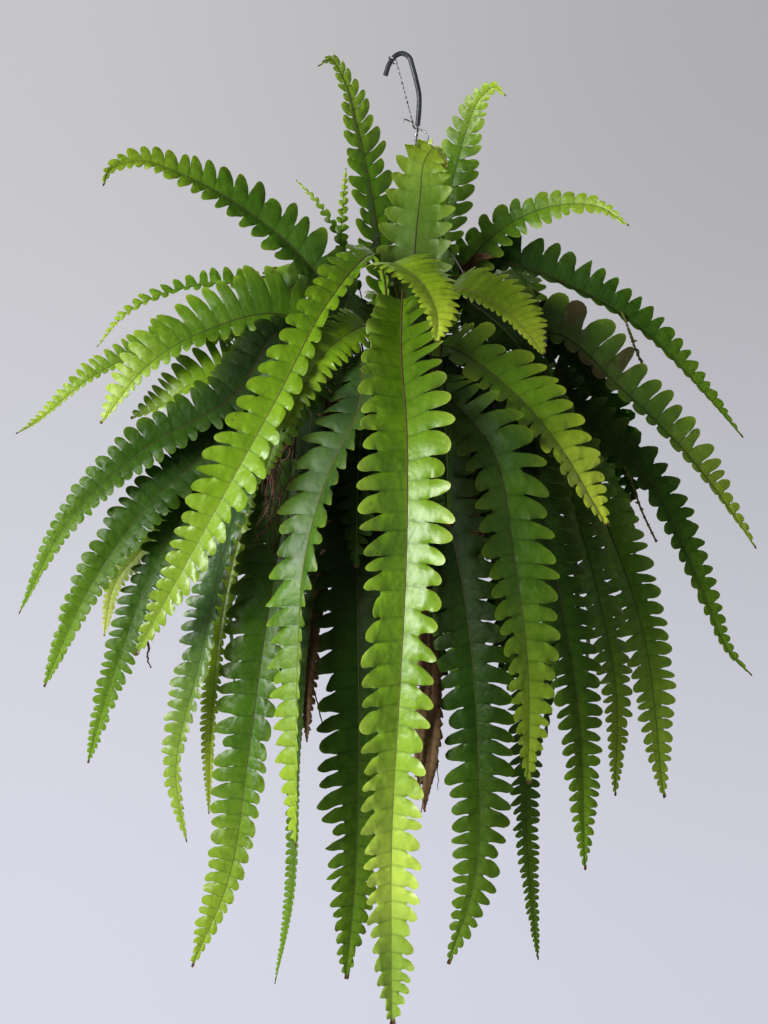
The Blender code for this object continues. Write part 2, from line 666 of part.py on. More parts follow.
def tie_line():
    """The thin wire that closes the loop: most of a turn round the strap's free end, then down to the stem."""
    low, high = pixel_line(STRAP_PIXELS[1:3])
    lean = (high - low).normalized()
    forward = Vector((0, -1, 0))
    outer = forward.cross(lean)
    around = STRAP_RADIUS + TIE_RADIUS + GAP * 2
    points = []
    for turn in range(-WRAP_TURN, WRAP_TURN + 1, WRAP_STEP):
        angle = math.radians(turn)
        centre = low.lerp(high, WRAP_PLACE) + lean * (turn / WRAP_TURN * TIE_RADIUS * 1.6)
        points.append(centre + (forward * math.sin(angle) + outer * math.cos(angle)) * around)
    end = photo_point(*TIE_END_PIXEL, 0)
    return points + [points[-1].lerp(end, 0.5), end]


def root_strands():
    """Brown roots on the left of the basket, which come out by the rim at one place and hang apart."""
    draw = random.Random(SEED)
    strands = []
    for index in range(ROOT_STRANDS):
        spread = math.radians((index - (ROOT_STRANDS - 1) / 2) * ROOT_SPREAD)
        start_drop = ROOT_START_DROP + index * ROOT_RADIUS * 0.4
        points = []
        for step, stand_off in enumerate((0, 0.003, 0.006)):
            height = RIM_Z - start_drop - step * ROOT_STEP
            radius = liner_radius(height) + ROOT_RADIUS + GAP + stand_off
            angle = math.radians(ROOT_ANGLE) + spread * (step + 0.08)
            points.append((radius * math.cos(angle), radius * math.sin(angle), height))
        angle += draw.uniform(-0.05, 0.05)
        for drop in (0.02, 0.045, 0.06 + draw.uniform(0, 0.03)):
            away = radius + draw.uniform(-0.003, 0.006)
            points.append((away * math.cos(angle), away * math.sin(angle), height - drop))
        strands.append(wire_mesh(f"strand_{index}", points, ROOT_RADIUS))
    return strands


def liner_radius(height):
    """The radius of the liner's outside at this height."""
    outline = bowl(0)[::-1]
    return np.interp(height, [level for _, level in outline], [radius for radius, _ in outline])


def stem_hole(rib):
    """A box round a stem's foot, a little larger than the stem all round."""
    point, across, up = rib.at(0)
    along = np.cross(across, up)
    height = HOLE_DEPTH * 3
    turn = Matrix((across, up, along)).transposed().to_4x4()
    size = Matrix.Diagonal((STEM_WIDTH + HOLE_CLEARANCE * 2, STEM_THICKNESS + HOLE_CLEARANCE * 2, height, 1))
    middle = Vector(point) + Vector((0, 0, height / 2 - HOLE_CLEARANCE))
    return Matrix.Translation(middle) @ turn @ size


def make_basket(parts):
    """The basket, its liner and the soil in it. Returns the two that the fronds need."""
    dark_steel = make_material("dark_steel", (0.025, 0.026, 0.03), 0.45, 0.6)
    frame = joined("basket_frame", basket_wires(), parts, dark_steel)
    inner = bowl(-LINER_THICKNESS)
    outer = bowl(0)
    liner_profile = [(0, inner[-1][1])] + inner[::-1] + outer + [(0, outer[-1][1])]
    turned("liner", liner_profile, SIDES, parts, make_material("fibre", (0.09, 0.05, 0.028), 0.95))
    filling = bowl(-LINER_THICKNESS - GAP * 2)
    edge_radius = filling[0][0]
    top = [(edge_radius * share, soil_height(edge_radius * share)) for share in (0, 0.55, 1)]
    soil_profile = top + filling[1:] + [(0, filling[-1][1])]
    earth = make_material("earth", (0.035, 0.022, 0.014), 0.95)
    soil = turned("soil", soil_profile, SOIL_SIDES, parts, earth)
    return frame, soil


def make_hanger(parts):
    """The strap, its tie and the wires below them. Returns the wires, which pass between the fronds."""
    steel = make_material("steel", (0.28, 0.29, 0.31), 0.35, 1.0)
    strap = wire_mesh("hanger_strap", pixel_line(STRAP_PIXELS), STRAP_RADIUS, 1)
    add_object("hanger_strap", strap, parts, make_material("coating", (0.045, 0.05, 0.065), 0.5))
    add_object("hanger_tie", wire_mesh("hanger_tie", tie_line(), TIE_RADIUS), parts, steel)
    return joined("hanger_wires", hanger_wires(), parts, steel)


def frond_materials():
    """A green for each age of frond, and a brown for the dried ones."""
    return {
        "old": make_material("frond_old", (0.035, 0.11, 0.03), 0.42),
        "blue": make_material("frond_blue", (0.06, 0.17, 0.09), 0.34),
        "mature": make_material("frond_mature", (0.09, 0.24, 0.035), 0.4),
        "young": make_material("frond_young", (0.17, 0.36, 0.05), 0.42),
        "fresh": make_material("frond_fresh", (0.30, 0.52, 0.07), 0.42),
        "pale": make_material("frond_pale", (0.33, 0.45, 0.16), 0.5),
        "stained": make_material("frond_stained", (0.11, 0.22, 0.04), 0.42),
        "dry": make_material("frond_dry", (0.20, 0.09, 0.04), 0.8),
    }


def things_in_place(made):
    """The basket, the wires and the roots, and a smooth bowl round the basket, for the fronds to keep off."""
    placed = Placed()
    for thing in made:
        placed.add([vertex.co.copy() for vertex in thing.data.vertices],
                   [list(face.vertices) for face in thing.data.polygons])
    outline = bowl(RIM_WIRE * 2)
    for low, high in zip(outline, outline[1:]):
        belt = ring(low[0], low[1]) + ring(high[0], high[1])
        faces = [[index, (index + 1) % SIDES, (index + 1) % SIDES + SIDES, index + SIDES]
                 for index in range(SIDES)]
        placed.add([Vector(point) for point in belt], faces)
    return placed


def make_frond(frond, sheet, parts, material):
    """The frond's solid: its sheet given a thickness, more at the stem and less out on the blade."""
    mesh = bpy.data.meshes.new(frond.name)
    sheet.to_mesh(mesh)
    sheet.free()
    made = add_object(frond.name, mesh, parts, material)
    made.vertex_groups.new(name="rib")
    thicken = made.modifiers.new("thickness", "SOLIDIFY")
    thicken.thickness = STEM_THICKNESS
    thicken.offset = 0
    thicken.vertex_group = "rib"
    thicken.thickness_vertex_group = BLADE_THICKNESS / STEM_THICKNESS


def cut_holes(soil, holes, cutters):
    """Cuts the stems' holes, which are boxes in one mesh, out of the soil."""
    hole_mesh = bpy.data.meshes.new("stem_holes")
    holes.to_mesh(hole_mesh)
    holes.free()
    cutter = add_object("stem_holes", hole_mesh, cutters, None)
    cutter.hide_render = True
    cutter.display_type = "WIRE"
    cut = soil.modifiers.new("holes", "BOOLEAN")
    cut.operation = "DIFFERENCE"
    cut.object = cutter
    cut.solver = "MANIFOLD"


def build():
    for old in list(bpy.data.objects):
        bpy.data.objects.remove(old)
    parts = bpy.data.collections.new("hanging_fern")
    cutters = bpy.data.collections.new("cutters")
    bpy.context.scene.collection.children.link(parts)
    bpy.context.scene.collection.children.link(cutters)
    frame, soil = make_basket(parts)
    hanger = make_hanger(parts)
    root_brown = make_material("roots", (0.16, 0.075, 0.035), 0.85)
    roots = joined("root_tangle", root_strands(), parts, root_brown)
    greens = frond_materials()
    placed = things_in_place((frame, hanger, roots))
    holes = bmesh.new()
    for frond in all_fronds():
        sheet, rib = settled_sheet(frond, placed)
        bmesh.ops.create_cube(holes, size=1, matrix=stem_hole(rib))
        make_frond(frond, sheet, parts, greens[frond.kind])
    cut_holes(soil, holes, cutters)


build()
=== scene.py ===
"""The looks of the hanging potted fern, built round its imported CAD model.

Metres, +Z up, the photo's side towards -Y. Every frond, wire and root follows the same line as the solid
that it stands for, and has the lobes, veins, fibres and strands that the solid leaves out.
"""

import math
import random
from collections import namedtuple

import bpy
import numpy as np
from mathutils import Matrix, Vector


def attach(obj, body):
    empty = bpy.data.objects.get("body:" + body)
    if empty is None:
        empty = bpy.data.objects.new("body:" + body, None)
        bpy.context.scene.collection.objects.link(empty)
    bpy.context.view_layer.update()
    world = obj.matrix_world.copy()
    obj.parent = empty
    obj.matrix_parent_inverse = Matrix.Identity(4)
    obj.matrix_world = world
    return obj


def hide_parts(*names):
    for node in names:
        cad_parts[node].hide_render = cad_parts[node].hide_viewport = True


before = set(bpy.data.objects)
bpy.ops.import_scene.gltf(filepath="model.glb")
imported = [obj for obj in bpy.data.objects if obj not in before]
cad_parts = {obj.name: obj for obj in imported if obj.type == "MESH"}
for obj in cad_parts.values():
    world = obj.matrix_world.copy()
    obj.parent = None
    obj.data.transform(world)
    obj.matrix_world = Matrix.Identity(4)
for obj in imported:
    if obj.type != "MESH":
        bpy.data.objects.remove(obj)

SEED = 11

# How a pixel of the photo becomes a place: the pot's axis stands this far from the camera
PIXEL = 0.0009
CAMERA_DISTANCE = 1.5
VIEW_ACROSS = 384
VIEW_DOWN = 512
HOOK_ACROSS = 402
HOOK_DOWN = 56
FOCAL_PIXELS = 1666.7
LONG_SIDE = 1024
SENSOR = 36

# Basket, liner and soil
RIM_Z = -0.305
RIM_RADIUS = 0.118
BASE_RADIUS = 0.068
BASKET_DEPTH = 0.14
LINER_THICKNESS = 0.008
GAP = 0.0003
SOIL_EDGE_DROP = 0.006
SOIL_DOME = 0.022
BOWL_STEPS = 4
RIM_WIRE = 0.0022
RIB_WIRE = 0.0014
RING_RADIUS = RIM_RADIUS + RIM_WIRE + GAP * 3
RIBS = 6

# How the solids' fronds stand on the soil, arch and lie over each other
HOLE_DEPTH = 0.009
STEM_UPRIGHT = 0.004
LAYER_STEP = 0.004
MOST_LAYERS = 40
ARCH_SHARE = 0.35
SHIFT_RINGS = 3
SHIFT_SPOKES = 6
SHIFT_STEP = 0.006

# Hanger, with the pixels of the photo that its wires pass
STRAP_RADIUS = 0.0023
TIE_RADIUS = 0.0008
LEG_RADIUS = 0.0009
TAIL_RADIUS = 0.0007
STEM_RADIUS = 0.0017
LEG_ANGLES = (90, 210, 330)
STRAP_PIXELS = [(385.4, 75.4), (389.6, 63.3), (395.5, 55.8), (402, 53.4), (408.5, 56.5), (412.5, 67),
                (416.2, 81), (419, 95), (419, 109), (417.6, 125.2)]
STEM_PIXELS = [(417.5, 126), (415, 150), (414, 170), (413, 190)]
LEG_TOP_PIXEL = (413, 186)
TIE_END_PIXEL = (414.2, 128)
WRAP_PLACE = 0.45
WRAP_TURN = 150
WRAP_STEP = 30

# Roots that come out of the basket's left side
ROOT_RADIUS = 0.0009
ROOT_ANGLE = 209
ROOT_SPREAD = 7
ROOT_START_DROP = 0.01

Frond = namedtuple("Frond", "name root rise knots width turn lift twist start taper kind")

# The fronds of the photo. Each row holds the name and kind, the root's place on the soil in cm, to the
# right and towards the camera, half the blade's width in cm, how far the hidden arch stands above the
# soil in mm or None where there is none, where the upper face looks in degrees to the right of the camera
# and upwards, where the blade starts as a share of the line, how late it narrows, and the knots of the
# midrib, each a pixel across and down, and how far it is towards the camera in cm.

# The dried fronds and those nearest the basket, which the others hang over
HIDDEN_FRONDS = [
    ("dry_left", "dry", (-5, 6.4), 1, 18, -20, 0, 0.45, 3,
     [(330, 470, 13), (318, 590, 14), (309, 650, 14), (305, 705, 13)]),
    ("dry_right", "dry", (1, 8.6), 0.9, 18, 15, 0, 0.5, 3,
     [(420, 560, 14.5), (424, 690, 14.5), (420, 740, 14), (418, 800, 13)]),
    ("lower_1", "old", (-1.8, 7.6), 3.5, 16, 8, 0, 0.22, 3,
     [(358, 470, 14), (358, 613, 15), (359, 753, 15), (356, 875, 14.5), (346, 979, 14)]),
    ("lower_2", "old", (2.6, 6.6), 3.6, 16, -10, 0, 0.2, 3,
     [(437, 460, 14), (463, 585, 15), (478, 736, 15), (473, 890, 14), (448, 964, 13)]),
    ("lower_4", "old", (4.6, 6), 1.9, 16, 30, 0, 0.3, 3,
     [(500, 520, 13), (524, 700, 13), (527, 847, 13), (538, 960, 12)]),
    ("front_7", "old", (-4, 6.6), 1.6, 14, -35, 0, 0.3, 3,
     [(338, 450, 13), (312, 600, 14), (299, 760, 13), (290, 910, 13), (275, 984, 12)]),
    ("left_10", "old", (-5.8, 4.8), 3.5, 16, -15, 0, 0.2, 3,
     [(290, 480, 11), (264, 640, 12), (248, 758, 12), (228, 881, 11), (192, 967, 10)]),
    ("lower_5", "old", (6.4, 5.4), 2.8, 16, 12, 0, 0.2, 3,
     [(535, 480, 10), (560, 592, 12), (579, 719, 12), (585, 870, 11)]),
    ("left_9", "pale", (-7, 4), 1.3, 14, -10, 0, 0.3, 3,
     [(248, 500, 9), (221, 625, 11), (211, 728, 11), (209, 814, 10)]),
    ("lower_6", "old", (7.6, 4.2), 2.3, 16, 20, 0, 0.22, 3,
     [(572, 500, 9), (597, 590, 10), (616, 690, 10), (615, 796, 9)]),
]
# The fronds that arch out to the left and right, from those behind to those in front
SIDE_FRONDS = [
    ("left_7", "old", (-8.6, 1.4), 2.3, 18, -10, 10, 0.25, 3,
     [(190, 500, 3), (147, 583, 4), (125, 643, 4), (105, 702, 3), (88, 763, 2)]),
    ("left_6", "pale", (-8.2, -0.4), 1.3, 30, 0, 15, 0.5, 3,
     [(200, 490, 0), (141, 551, 1), (117, 580, 1), (104, 636, 0)]),
    ("lower_7", "mature", (7.8, 2.6), 2.9, 24, 8, 0, 0.22, 3,
     [(560, 430, 6), (608, 528, 7), (640, 620, 7), (664, 798, 6)]),
    ("right_3", "old", (8, 0.4), 2.4, 28, 6, 12, 0.25, 2,
     [(581, 415, 2), (648, 478, 3), (704, 592, 3), (732, 655, 2), (752, 676, 2)]),
    ("left_5", "old", (-7.6, 2.6), 3, 26, -6, 12, 0.16, 2.2,
     [(217, 439, 4), (147, 507, 5), (91, 586, 5), (44, 687, 4)]),
    ("left_4", "mature", (-6.6, 1), 2.9, 32, -6, 18, 0.14, 2,
     [(235, 395, 3), (147, 448, 4), (67, 524, 4), (19, 614, 3)]),
    ("left_3", "mature", (-6.2, -1.2), 2.4, 36, 0, 30, 0.2, 3,
     [(252, 369, 0), (191, 384, 1), (164, 404, 1), (131, 419, 1)]),
    ("right_1", "old", (5.8, -2), 2.5, None, 4, 20, 0.2, 1.9,
     [(497, 265, -3), (575, 287, -3), (638, 325, -2), (699, 386, -1), (743, 438, 0)]),
    ("right_2", "stained", (6.6, 1), 2.9, None, 4, 15, 0.18, 2,
     [(552, 333, 2), (623, 390, 3), (690, 457, 4), (733, 514, 4), (756, 549, 4)]),
    ("crown_6", "young", (4.4, -3.4), 2.8, None, 0, 28, 0.2, 1.9,
     [(475, 254, -4), (514, 221, -4), (560, 205, -3), (600, 207, -2), (629, 226, -1)]),
    ("left_1", "young", (-4.6, -3.2), 2, None, 0, 35, 0.35, 2,
     [(239, 284, -5), (180, 289, -5), (127, 313, -4), (97, 347, -3)]),
    ("left_2_behind", "young", (-5.6, -2.2), 2.3, 40, 0, 28, 0.2, 1.8,
     [(250, 330, -3), (170, 342, -3), (90, 378, -2), (32, 425, -1), (16, 434, 0)]),
    ("crown_4", "mature", (-3.4, -3.6), 3.5, None, 0, 30, 0.18, 2,
     [(310, 267, -4), (249, 212, -4), (186, 176, -3), (138, 161, -2), (110, 171, -1), (103, 186, 0)]),
    ("left_2", "young", (-4.8, 0), 2.8, None, 0, 26, 0.14, 2.2,
     [(287, 316, 0), (205, 331, 1), (147, 366, 2), (101, 424, 2)]),
]
# The upright fronds and the young ones in the middle
CROWN_FRONDS = [
    ("crown_5", "young", (-1.8, -4.4), 1, None, 10, 0, 0.4, 3,
     [(342, 256, -5), (344, 193, -5), (346, 168, -5)]),
    ("crown_7", "young", (-2.8, -4.8), 1.1, None, 0, 10, 0.45, 3,
     [(338, 235, -6), (317, 202, -6), (296, 180, -6)]),
    ("crown_1", "young", (-1, -2.8), 3, None, 30, 0, 0.2, 2,
     [(385, 290, -3), (370, 187, -4), (357, 125, -4), (344, 80, -3), (331, 60, -2), (318, 66, -1)]),
    ("crown_2", "young", (2, -2.8), 2.5, None, -15, 0, 0.3, 1.9,
     [(430, 290, -3), (454, 175, -4), (466, 132, -4), (479, 100, -3), (494, 87, -2), (506, 96, -1)]),
    ("crown_3", "fresh", (0.9, -1), 3.4, None, 180, 0, 0.3, 4,
     [(414, 268, 1), (416, 232, 1), (420, 196, 0.6), (424, 162, 0.8), (434, 148, 2.6), (446, 164, 4.5)]),
]
# The fronds that hang towards the camera, from those behind to those in front
FRONT_FRONDS = [
    ("left_8", "blue", (-6, 3), 2.7, 30, -25, 0, 0.2, 3,
     [(262, 440, 9), (227, 540, 12), (200, 660, 12), (176, 779, 11), (187, 842, 10)]),
    ("front_4", "blue", (-2.4, 7.2), 3.5, 12, -42, 0, 0.15, 3,
     [(358, 411, 14), (327, 478, 15), (304, 564, 16), (298, 651, 16), (296, 753, 16), (296, 847, 15)]),
    ("front_6", "old", (-3.6, 5.6), 2, 20, -10, 0, 0.3, 3,
     [(321, 382, 10), (298, 403, 12), (276, 440, 12.5), (262, 480, 12.5)]),
    ("lower_3", "mature", (3.2, 5.2), 3.4, 24, 10, 0, 0.14, 3,
     [(447, 393, 13), (490, 446, 15), (514, 558, 16), (528, 671, 16), (528, 784, 15)]),
    ("front_5", "fresh", (-2.8, 3), 2.4, None, -10, 0, 0.25, 3,
     [(354, 330, 8), (319, 360, 11), (300, 395, 12), (283, 432, 12)]),
    ("right_4", "fresh", (3.4, 3.2), 4.1, None, 25, 15, 0.2, 2.6,
     [(443, 346, 10), (513, 392, 14), (564, 453, 16), (594, 504, 16), (607, 526, 16)]),
    ("right_5", "fresh", (2.8, 1), 2.6, None, 0, 35, 0.35, 3,
     [(460, 289, 5), (502, 308, 7), (534, 342, 9), (543, 355, 9)]),
    ("front_2", "fresh", (0.2, 5.2), 3.8, 30, 0, 0, 0.08, 3.2,
     [(401, 345, 9), (407, 442, 15), (406, 564, 17), (400, 684, 18), (392, 826, 17), (392, 1026, 15)]),
    ("front_3", "fresh", (-1.2, 1.4), 3.6, None, -8, 12, 0.14, 2.8,
     [(378, 257, 4), (327, 304, 12), (277, 398, 16), (226, 491, 17), (187, 562, 16), (136, 655, 14)]),
    ("front_1", "fresh", (0.6, 2), 2.2, None, 10, 20, 0.45, 3,
     [(394, 263, 7), (428, 291, 11), (438, 325, 13), (436, 342, 13)]),
]
# Short fronds in the shade, inside the others, which the photo shows as dark leaves in the gaps
FILLERS = [
    ("inner_a", "shade", (3, 0.6), 2.8, None, 0, 25, 0.2, 3, [(452, 298, 3), (505, 330, 5), (548, 400, 7)]),
    ("inner_b", "shade", (-2, 1.2), 2.6, None, 0, 10, 0.2, 3,
     [(352, 296, 4), (338, 350, 8), (333, 430, 9)]),
    ("inner_d", "shade", (5, -0.6), 3.2, None, 0, 15, 0.2, 3,
     [(520, 318, 0), (572, 352, 1), (612, 420, 2), (634, 500, 3)]),
    ("inner_c", "shade", (1.6, 1.6), 2.6, None, 0, 10, 0.2, 3,
     [(420, 300, 4), (440, 350, 8), (452, 430, 9)]),
]
# Loose ends of leaves
SCRAPS = [
    ("scrap_1", "dry", (2, -2), 0.6, None, 0, 0, 0.76, 2.2,
     [(470, 264, -1.5), (480, 257, -1.2), (493, 257, -1)]),
    ("scrap_2", "dry", (-5, 6.4), 1.1, 18, -30, 0, 0.45, 4,
     [(322, 540, 13.6), (312, 610, 15.4), (308, 660, 15.8), (307, 742, 15.2)]),
    ("scrap_3", "dry", (2, 7.4), 1.1, 18, 20, 0, 0.5, 4,
     [(432, 600, 14.4), (433, 690, 15.2), (431, 750, 15.4), (424, 812, 15)]),
    ("scrap_4", "blond", (0.9, -1.4), 1.6, None, 0, 0, 0.88, 2.6,
     [(418, 230, 0.2), (421, 174, 0.4), (428, 156, 1), (438, 156, 1.8), (447, 167, 2.2)]),
]

# Fronds in tiers: how they start on the soil, arch and hang, in metres from the axis, and half their
# width in cm
Tier = namedtuple("Tier", "root_radius reach heights first last count width rise kind")
BACK_TIERS = [
    Tier(0.09, (0.15, 0.165, 0.16), (-0.36, -0.48, -0.60), -6, 186, 6, 3.4, 0.018, "old"),
    Tier(0.07, (0.15, 0.215, 0.235), (-0.285, -0.38, -0.50), 22, 158, 5, 3.3, 0.034, "mature"),
    Tier(0.05, (0.10, 0.18, 0.25), (-0.20, -0.175, -0.25), 50, 130, 3, 3.0, None, "young"),
]
FILL_TIERS = [
    Tier(0.088, (0.132, 0.150, 0.146), (-0.35, -0.47, -0.59), -170, -10, 8, 3.0, 0.016, "shade"),
    Tier(0.066, (0.120, 0.150, 0.165), (-0.305, -0.35, -0.45), -176, -4, 8, 2.9, 0.02, "shade"),
]
# The angles between which no filler hides the roots that the photo shows
ROOTS_SEEN = (190, 232)


def photo_point(across, down, reach):
    """The place that the photo shows at this pixel, so far towards the camera from the pot's axis."""
    nearer = 1 - reach / CAMERA_DISTANCE
    x = (VIEW_ACROSS - HOOK_ACROSS + (across - VIEW_ACROSS) * nearer) * PIXEL
    z = (HOOK_DOWN - VIEW_DOWN - (down - VIEW_DOWN) * nearer) * PIXEL
    return Vector((x, -reach, z))


def photo_line(places):
    """The places of some pixels, each across and down, and how far it is towards the camera in cm."""
    return [photo_point(across, down, reach / 100) for across, down, reach in places]


def pixel_line(pixels):
    """The places of some pixels of the photo, all of them as far off as the pot's axis."""
    return [photo_point(across, down, 0) for across, down in pixels]


def camera_place():
    return Vector(((VIEW_ACROSS - HOOK_ACROSS) * PIXEL, -CAMERA_DISTANCE, (HOOK_DOWN - VIEW_DOWN) * PIXEL))


def polar(radius, angle, height=0):
    """The place at this radius and angle round the pot's axis."""
    return radius * math.cos(angle), radius * math.sin(angle), height


def photo_frond(name, kind, root, width, rise, turn, lift, start, taper, knots):
    """A frond from a row of the tables above."""
    soil_point = Vector((root[0] / 100, -root[1] / 100, 0))
    arch = None if rise is None else rise / 1000
    return Frond(name, soil_point, arch, photo_line(knots), width / 100, turn, lift, 0, start, taper, kind)


def tier_fronds(tiers, draw, name):
    """Fronds round the pot by a rule, with small seeded differences between them."""
    made = []
    for tier in tiers:
        for index in range(tier.count):
            share = index / (tier.count - 1)
            angle = math.radians(tier.first + (tier.last - tier.first) * share + draw.uniform(-3, 3))
            away = Vector(polar(1, angle))
            longer = draw.uniform(0.93, 1.06)
            line = [away * reach * longer + Vector((0, 0, height * longer))
                    for reach, height in zip(tier.reach, tier.heights)]
            turn = math.degrees(math.atan2(away.x, -away.y))
            made.append(Frond(f"{name}{len(made) + 1}", away * tier.root_radius, tier.rise, line,
                              tier.width / 100, turn, 15, draw.uniform(-15, 15), 0.2, 2.6, tier.kind))
    return made


def all_fronds():
    """Every frond, in the order in which they are laid over each other."""
    hidden = [photo_frond(*row) for row in HIDDEN_FRONDS]
    back = tier_fronds(BACK_TIERS, random.Random(SEED), "back_")
    return hidden + back + [photo_frond(*row) for row in SIDE_FRONDS + CROWN_FRONDS + FRONT_FRONDS]


def soil_height(radius):
    edge = RIM_Z - SOIL_EDGE_DROP
    return edge + SOIL_DOME * (1 - (radius / (RIM_RADIUS - LINER_THICKNESS)) ** 2)


def smooth_path(knots, start_direction, steps=10):
    """Points of a smooth curve through the knots, which leaves the first one in the given direction."""
    knots = np.array([tuple(knot) for knot in knots])
    times = np.concatenate([[0], np.cumsum(np.linalg.norm(np.diff(knots, axis=0), axis=1))])
    slopes = np.gradient(knots, times, axis=0)
    slopes[0] = start_direction
    points = []
    for index in range(len(knots) - 1):
        span = times[index + 1] - times[index]
        for share in np.arange(steps) / steps:
            ease = share * share * (3 - 2 * share)
            lead = share * (1 - share) ** 2 * span
            trail = share ** 2 * (share - 1) * span
            point = knots[index] * (1 - ease) + knots[index + 1] * ease
            points.append(point + slopes[index] * lead + slopes[index + 1] * trail)
    points.append(knots[-1])
    return np.array(points)


def units(vectors):
    """The vectors, each at length 1."""
    return vectors / (np.linalg.norm(vectors, axis=1)[:, None] + 1e-12)


def square_to(vector, direction):
    """The vector without its part along a direction, at length 1."""
    rest = vector - direction * np.dot(vector, direction)
    return rest / np.linalg.norm(rest)


def carried(start, tangents, first=0):
    """Ways square to the tangents of a line, turned as little as can be from the one at its first place."""
    ways = np.zeros_like(tangents)
    ways[first] = square_to(start, tangents[first])
    for index in range(first + 1, len(tangents)):
        ways[index] = square_to(ways[index - 1], tangents[index])
    for index in range(first - 1, -1, -1):
        ways[index] = square_to(ways[index + 1], tangents[index])
    return ways


def rib_of(frond, out):
    """The midrib of a frond whose blade is moved out by so much: towards the camera, or from the axis."""
    root = frond.root.copy()
    root.z = soil_height(root.length)
    knots = [moved_out(knot, out, frond.name) for knot in frond.knots]
    foot = root + Vector((0, 0, STEM_UPRIGHT))
    hidden = [foot]
    if frond.rise is not None:
        arch = foot.lerp(knots[0], 0.5)
        arch.z = max(foot.z, knots[0].z) + frond.rise + out * ARCH_SHARE
        hidden.append(arch)
    bend = smooth_path(hidden + knots, (0, 0, 1))
    stem_end = np.array((root.x, root.y, root.z - HOLE_DEPTH))
    turn = math.radians(frond.turn)
    lift = math.radians(frond.lift)
    facing = (math.sin(turn) * math.cos(lift), -math.cos(turn) * math.cos(lift), math.sin(lift))
    return Rib(np.vstack([stem_end, bend]), facing, frond.twist)


def moved_out(knot, out, name):
    """A knot moved out. In front it moves along the line of sight, and keeps its place in the photo."""
    if name.startswith("back"):
        return knot + Vector((knot.x, knot.y, 0)).normalized() * out
    sight = camera_place() - knot
    return knot + sight * (out / -sight.y)


def root_shifts():
    """Small moves of a stem's foot on the soil, the nearest first."""
    moves = [Vector((0, 0, 0))]
    for ring_number in range(1, SHIFT_RINGS + 1):
        for index in range(SHIFT_SPOKES):
            angle = math.tau * (index + ring_number / 2) / SHIFT_SPOKES
            moves.append(Vector(polar(1, angle)) * SHIFT_STEP * ring_number)
    return moves


def bowl(offset):
    """The basket's outline from rim to foot, moved outwards by offset: pairs of radius and height."""
    across = RIM_RADIUS - BASE_RADIUS
    outline = []
    for step in range(BOWL_STEPS + 1):
        angle = step / BOWL_STEPS * math.pi / 2
        normal = Vector((BASKET_DEPTH * math.cos(angle), across * math.sin(angle))).normalized()
        radius = BASE_RADIUS + across * math.cos(angle) + normal.x * offset
        outline.append((radius, RIM_Z - BASKET_DEPTH * math.sin(angle) - normal.y * offset))
    return outline


class Rib:
    """The line of a midrib, with the way across the blade and the way its upper face looks at each place."""

    def __init__(self, points, facing, twist):
        lengths = np.concatenate([[0], np.cumsum(np.linalg.norm(np.diff(points, axis=0), axis=1))])
        self.length = lengths[-1]
        self.shares = lengths / self.length
        self.points = points
        tangents = units(np.gradient(points, lengths, axis=0))
        normals = carried(np.array(facing), tangents, int(np.searchsorted(self.shares, 0.5)))
        across = np.cross(tangents, normals)
        angles = np.radians(twist) * (self.shares - 0.5)[:, None]
        self.normals = normals * np.cos(angles) + across * np.sin(angles)
        self.across = np.cross(tangents, self.normals)
        self.end = tangents[-1]

    def at(self, shares, angles=0):
        """Points, ways across and ways up at these shares, turned about the rib by the angles."""
        point, across, up = [
            np.stack([np.interp(shares, self.shares, values[:, axis]) for axis in range(3)], -1)
            for values in (self.points, self.across, self.normals)]
        over = np.maximum(shares - 1, 0) * self.length
        point = point + self.end * over[..., None]
        cosine = np.cos(angles)[..., None]
        sine = np.sin(angles)[..., None]
        return point, across * cosine - up * sine, up * cosine + across * sine


# The angle between two faces from which their edge stays sharp
SHARP_ANGLE = 72


class Shape:
    """The points and faces of one piece of the scene, which may be several closed bodies.

    leaf holds a point's place on its lobe and frond, and tone a tone, the margin and the underside.
    """

    def __init__(self):
        self.points = []
        self.faces = []
        self.materials = []
        self.leaf = []
        self.tone = []
        self.count = 0

    def add(self, points, faces, material=0, leaf=(0, 0, 0), tone=(0.5, 0, 0)):
        self.points.append(points)
        for group in faces:
            group = np.asarray(group) + self.count
            self.faces += group.tolist()
            self.materials += [material] * len(group)
        self.leaf.append(np.broadcast_to(leaf, points.shape))
        self.tone.append(np.broadcast_to(tone, points.shape))
        self.count += len(points)

    def piece(self, name, materials, replaced=(), flat=False):
        """The object, which rides on the fern and stands for the solids that it replaces."""
        mesh = bpy.data.meshes.new(name)
        mesh.from_pydata(np.concatenate(self.points).tolist(), [], self.faces)
        for label, values in (("leaf", self.leaf), ("tone", self.tone)):
            attribute = mesh.attributes.new(label, "FLOAT_VECTOR", "POINT")
            attribute.data.foreach_set("vector", np.concatenate(values).astype(np.float32).ravel())
        for material in materials:
            mesh.materials.append(material)
        mesh.polygons.foreach_set("material_index", self.materials)
        mesh.polygons.foreach_set("use_smooth", [not flat] * len(self.faces))
        mesh.set_sharp_from_angle(angle=math.radians(SHARP_ANGLE))
        mesh.validate()
        mesh.update()
        made = bpy.data.objects.new(name, mesh)
        bpy.context.scene.collection.objects.link(made)
        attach(made, "root")
        if replaced:
            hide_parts(*replaced)


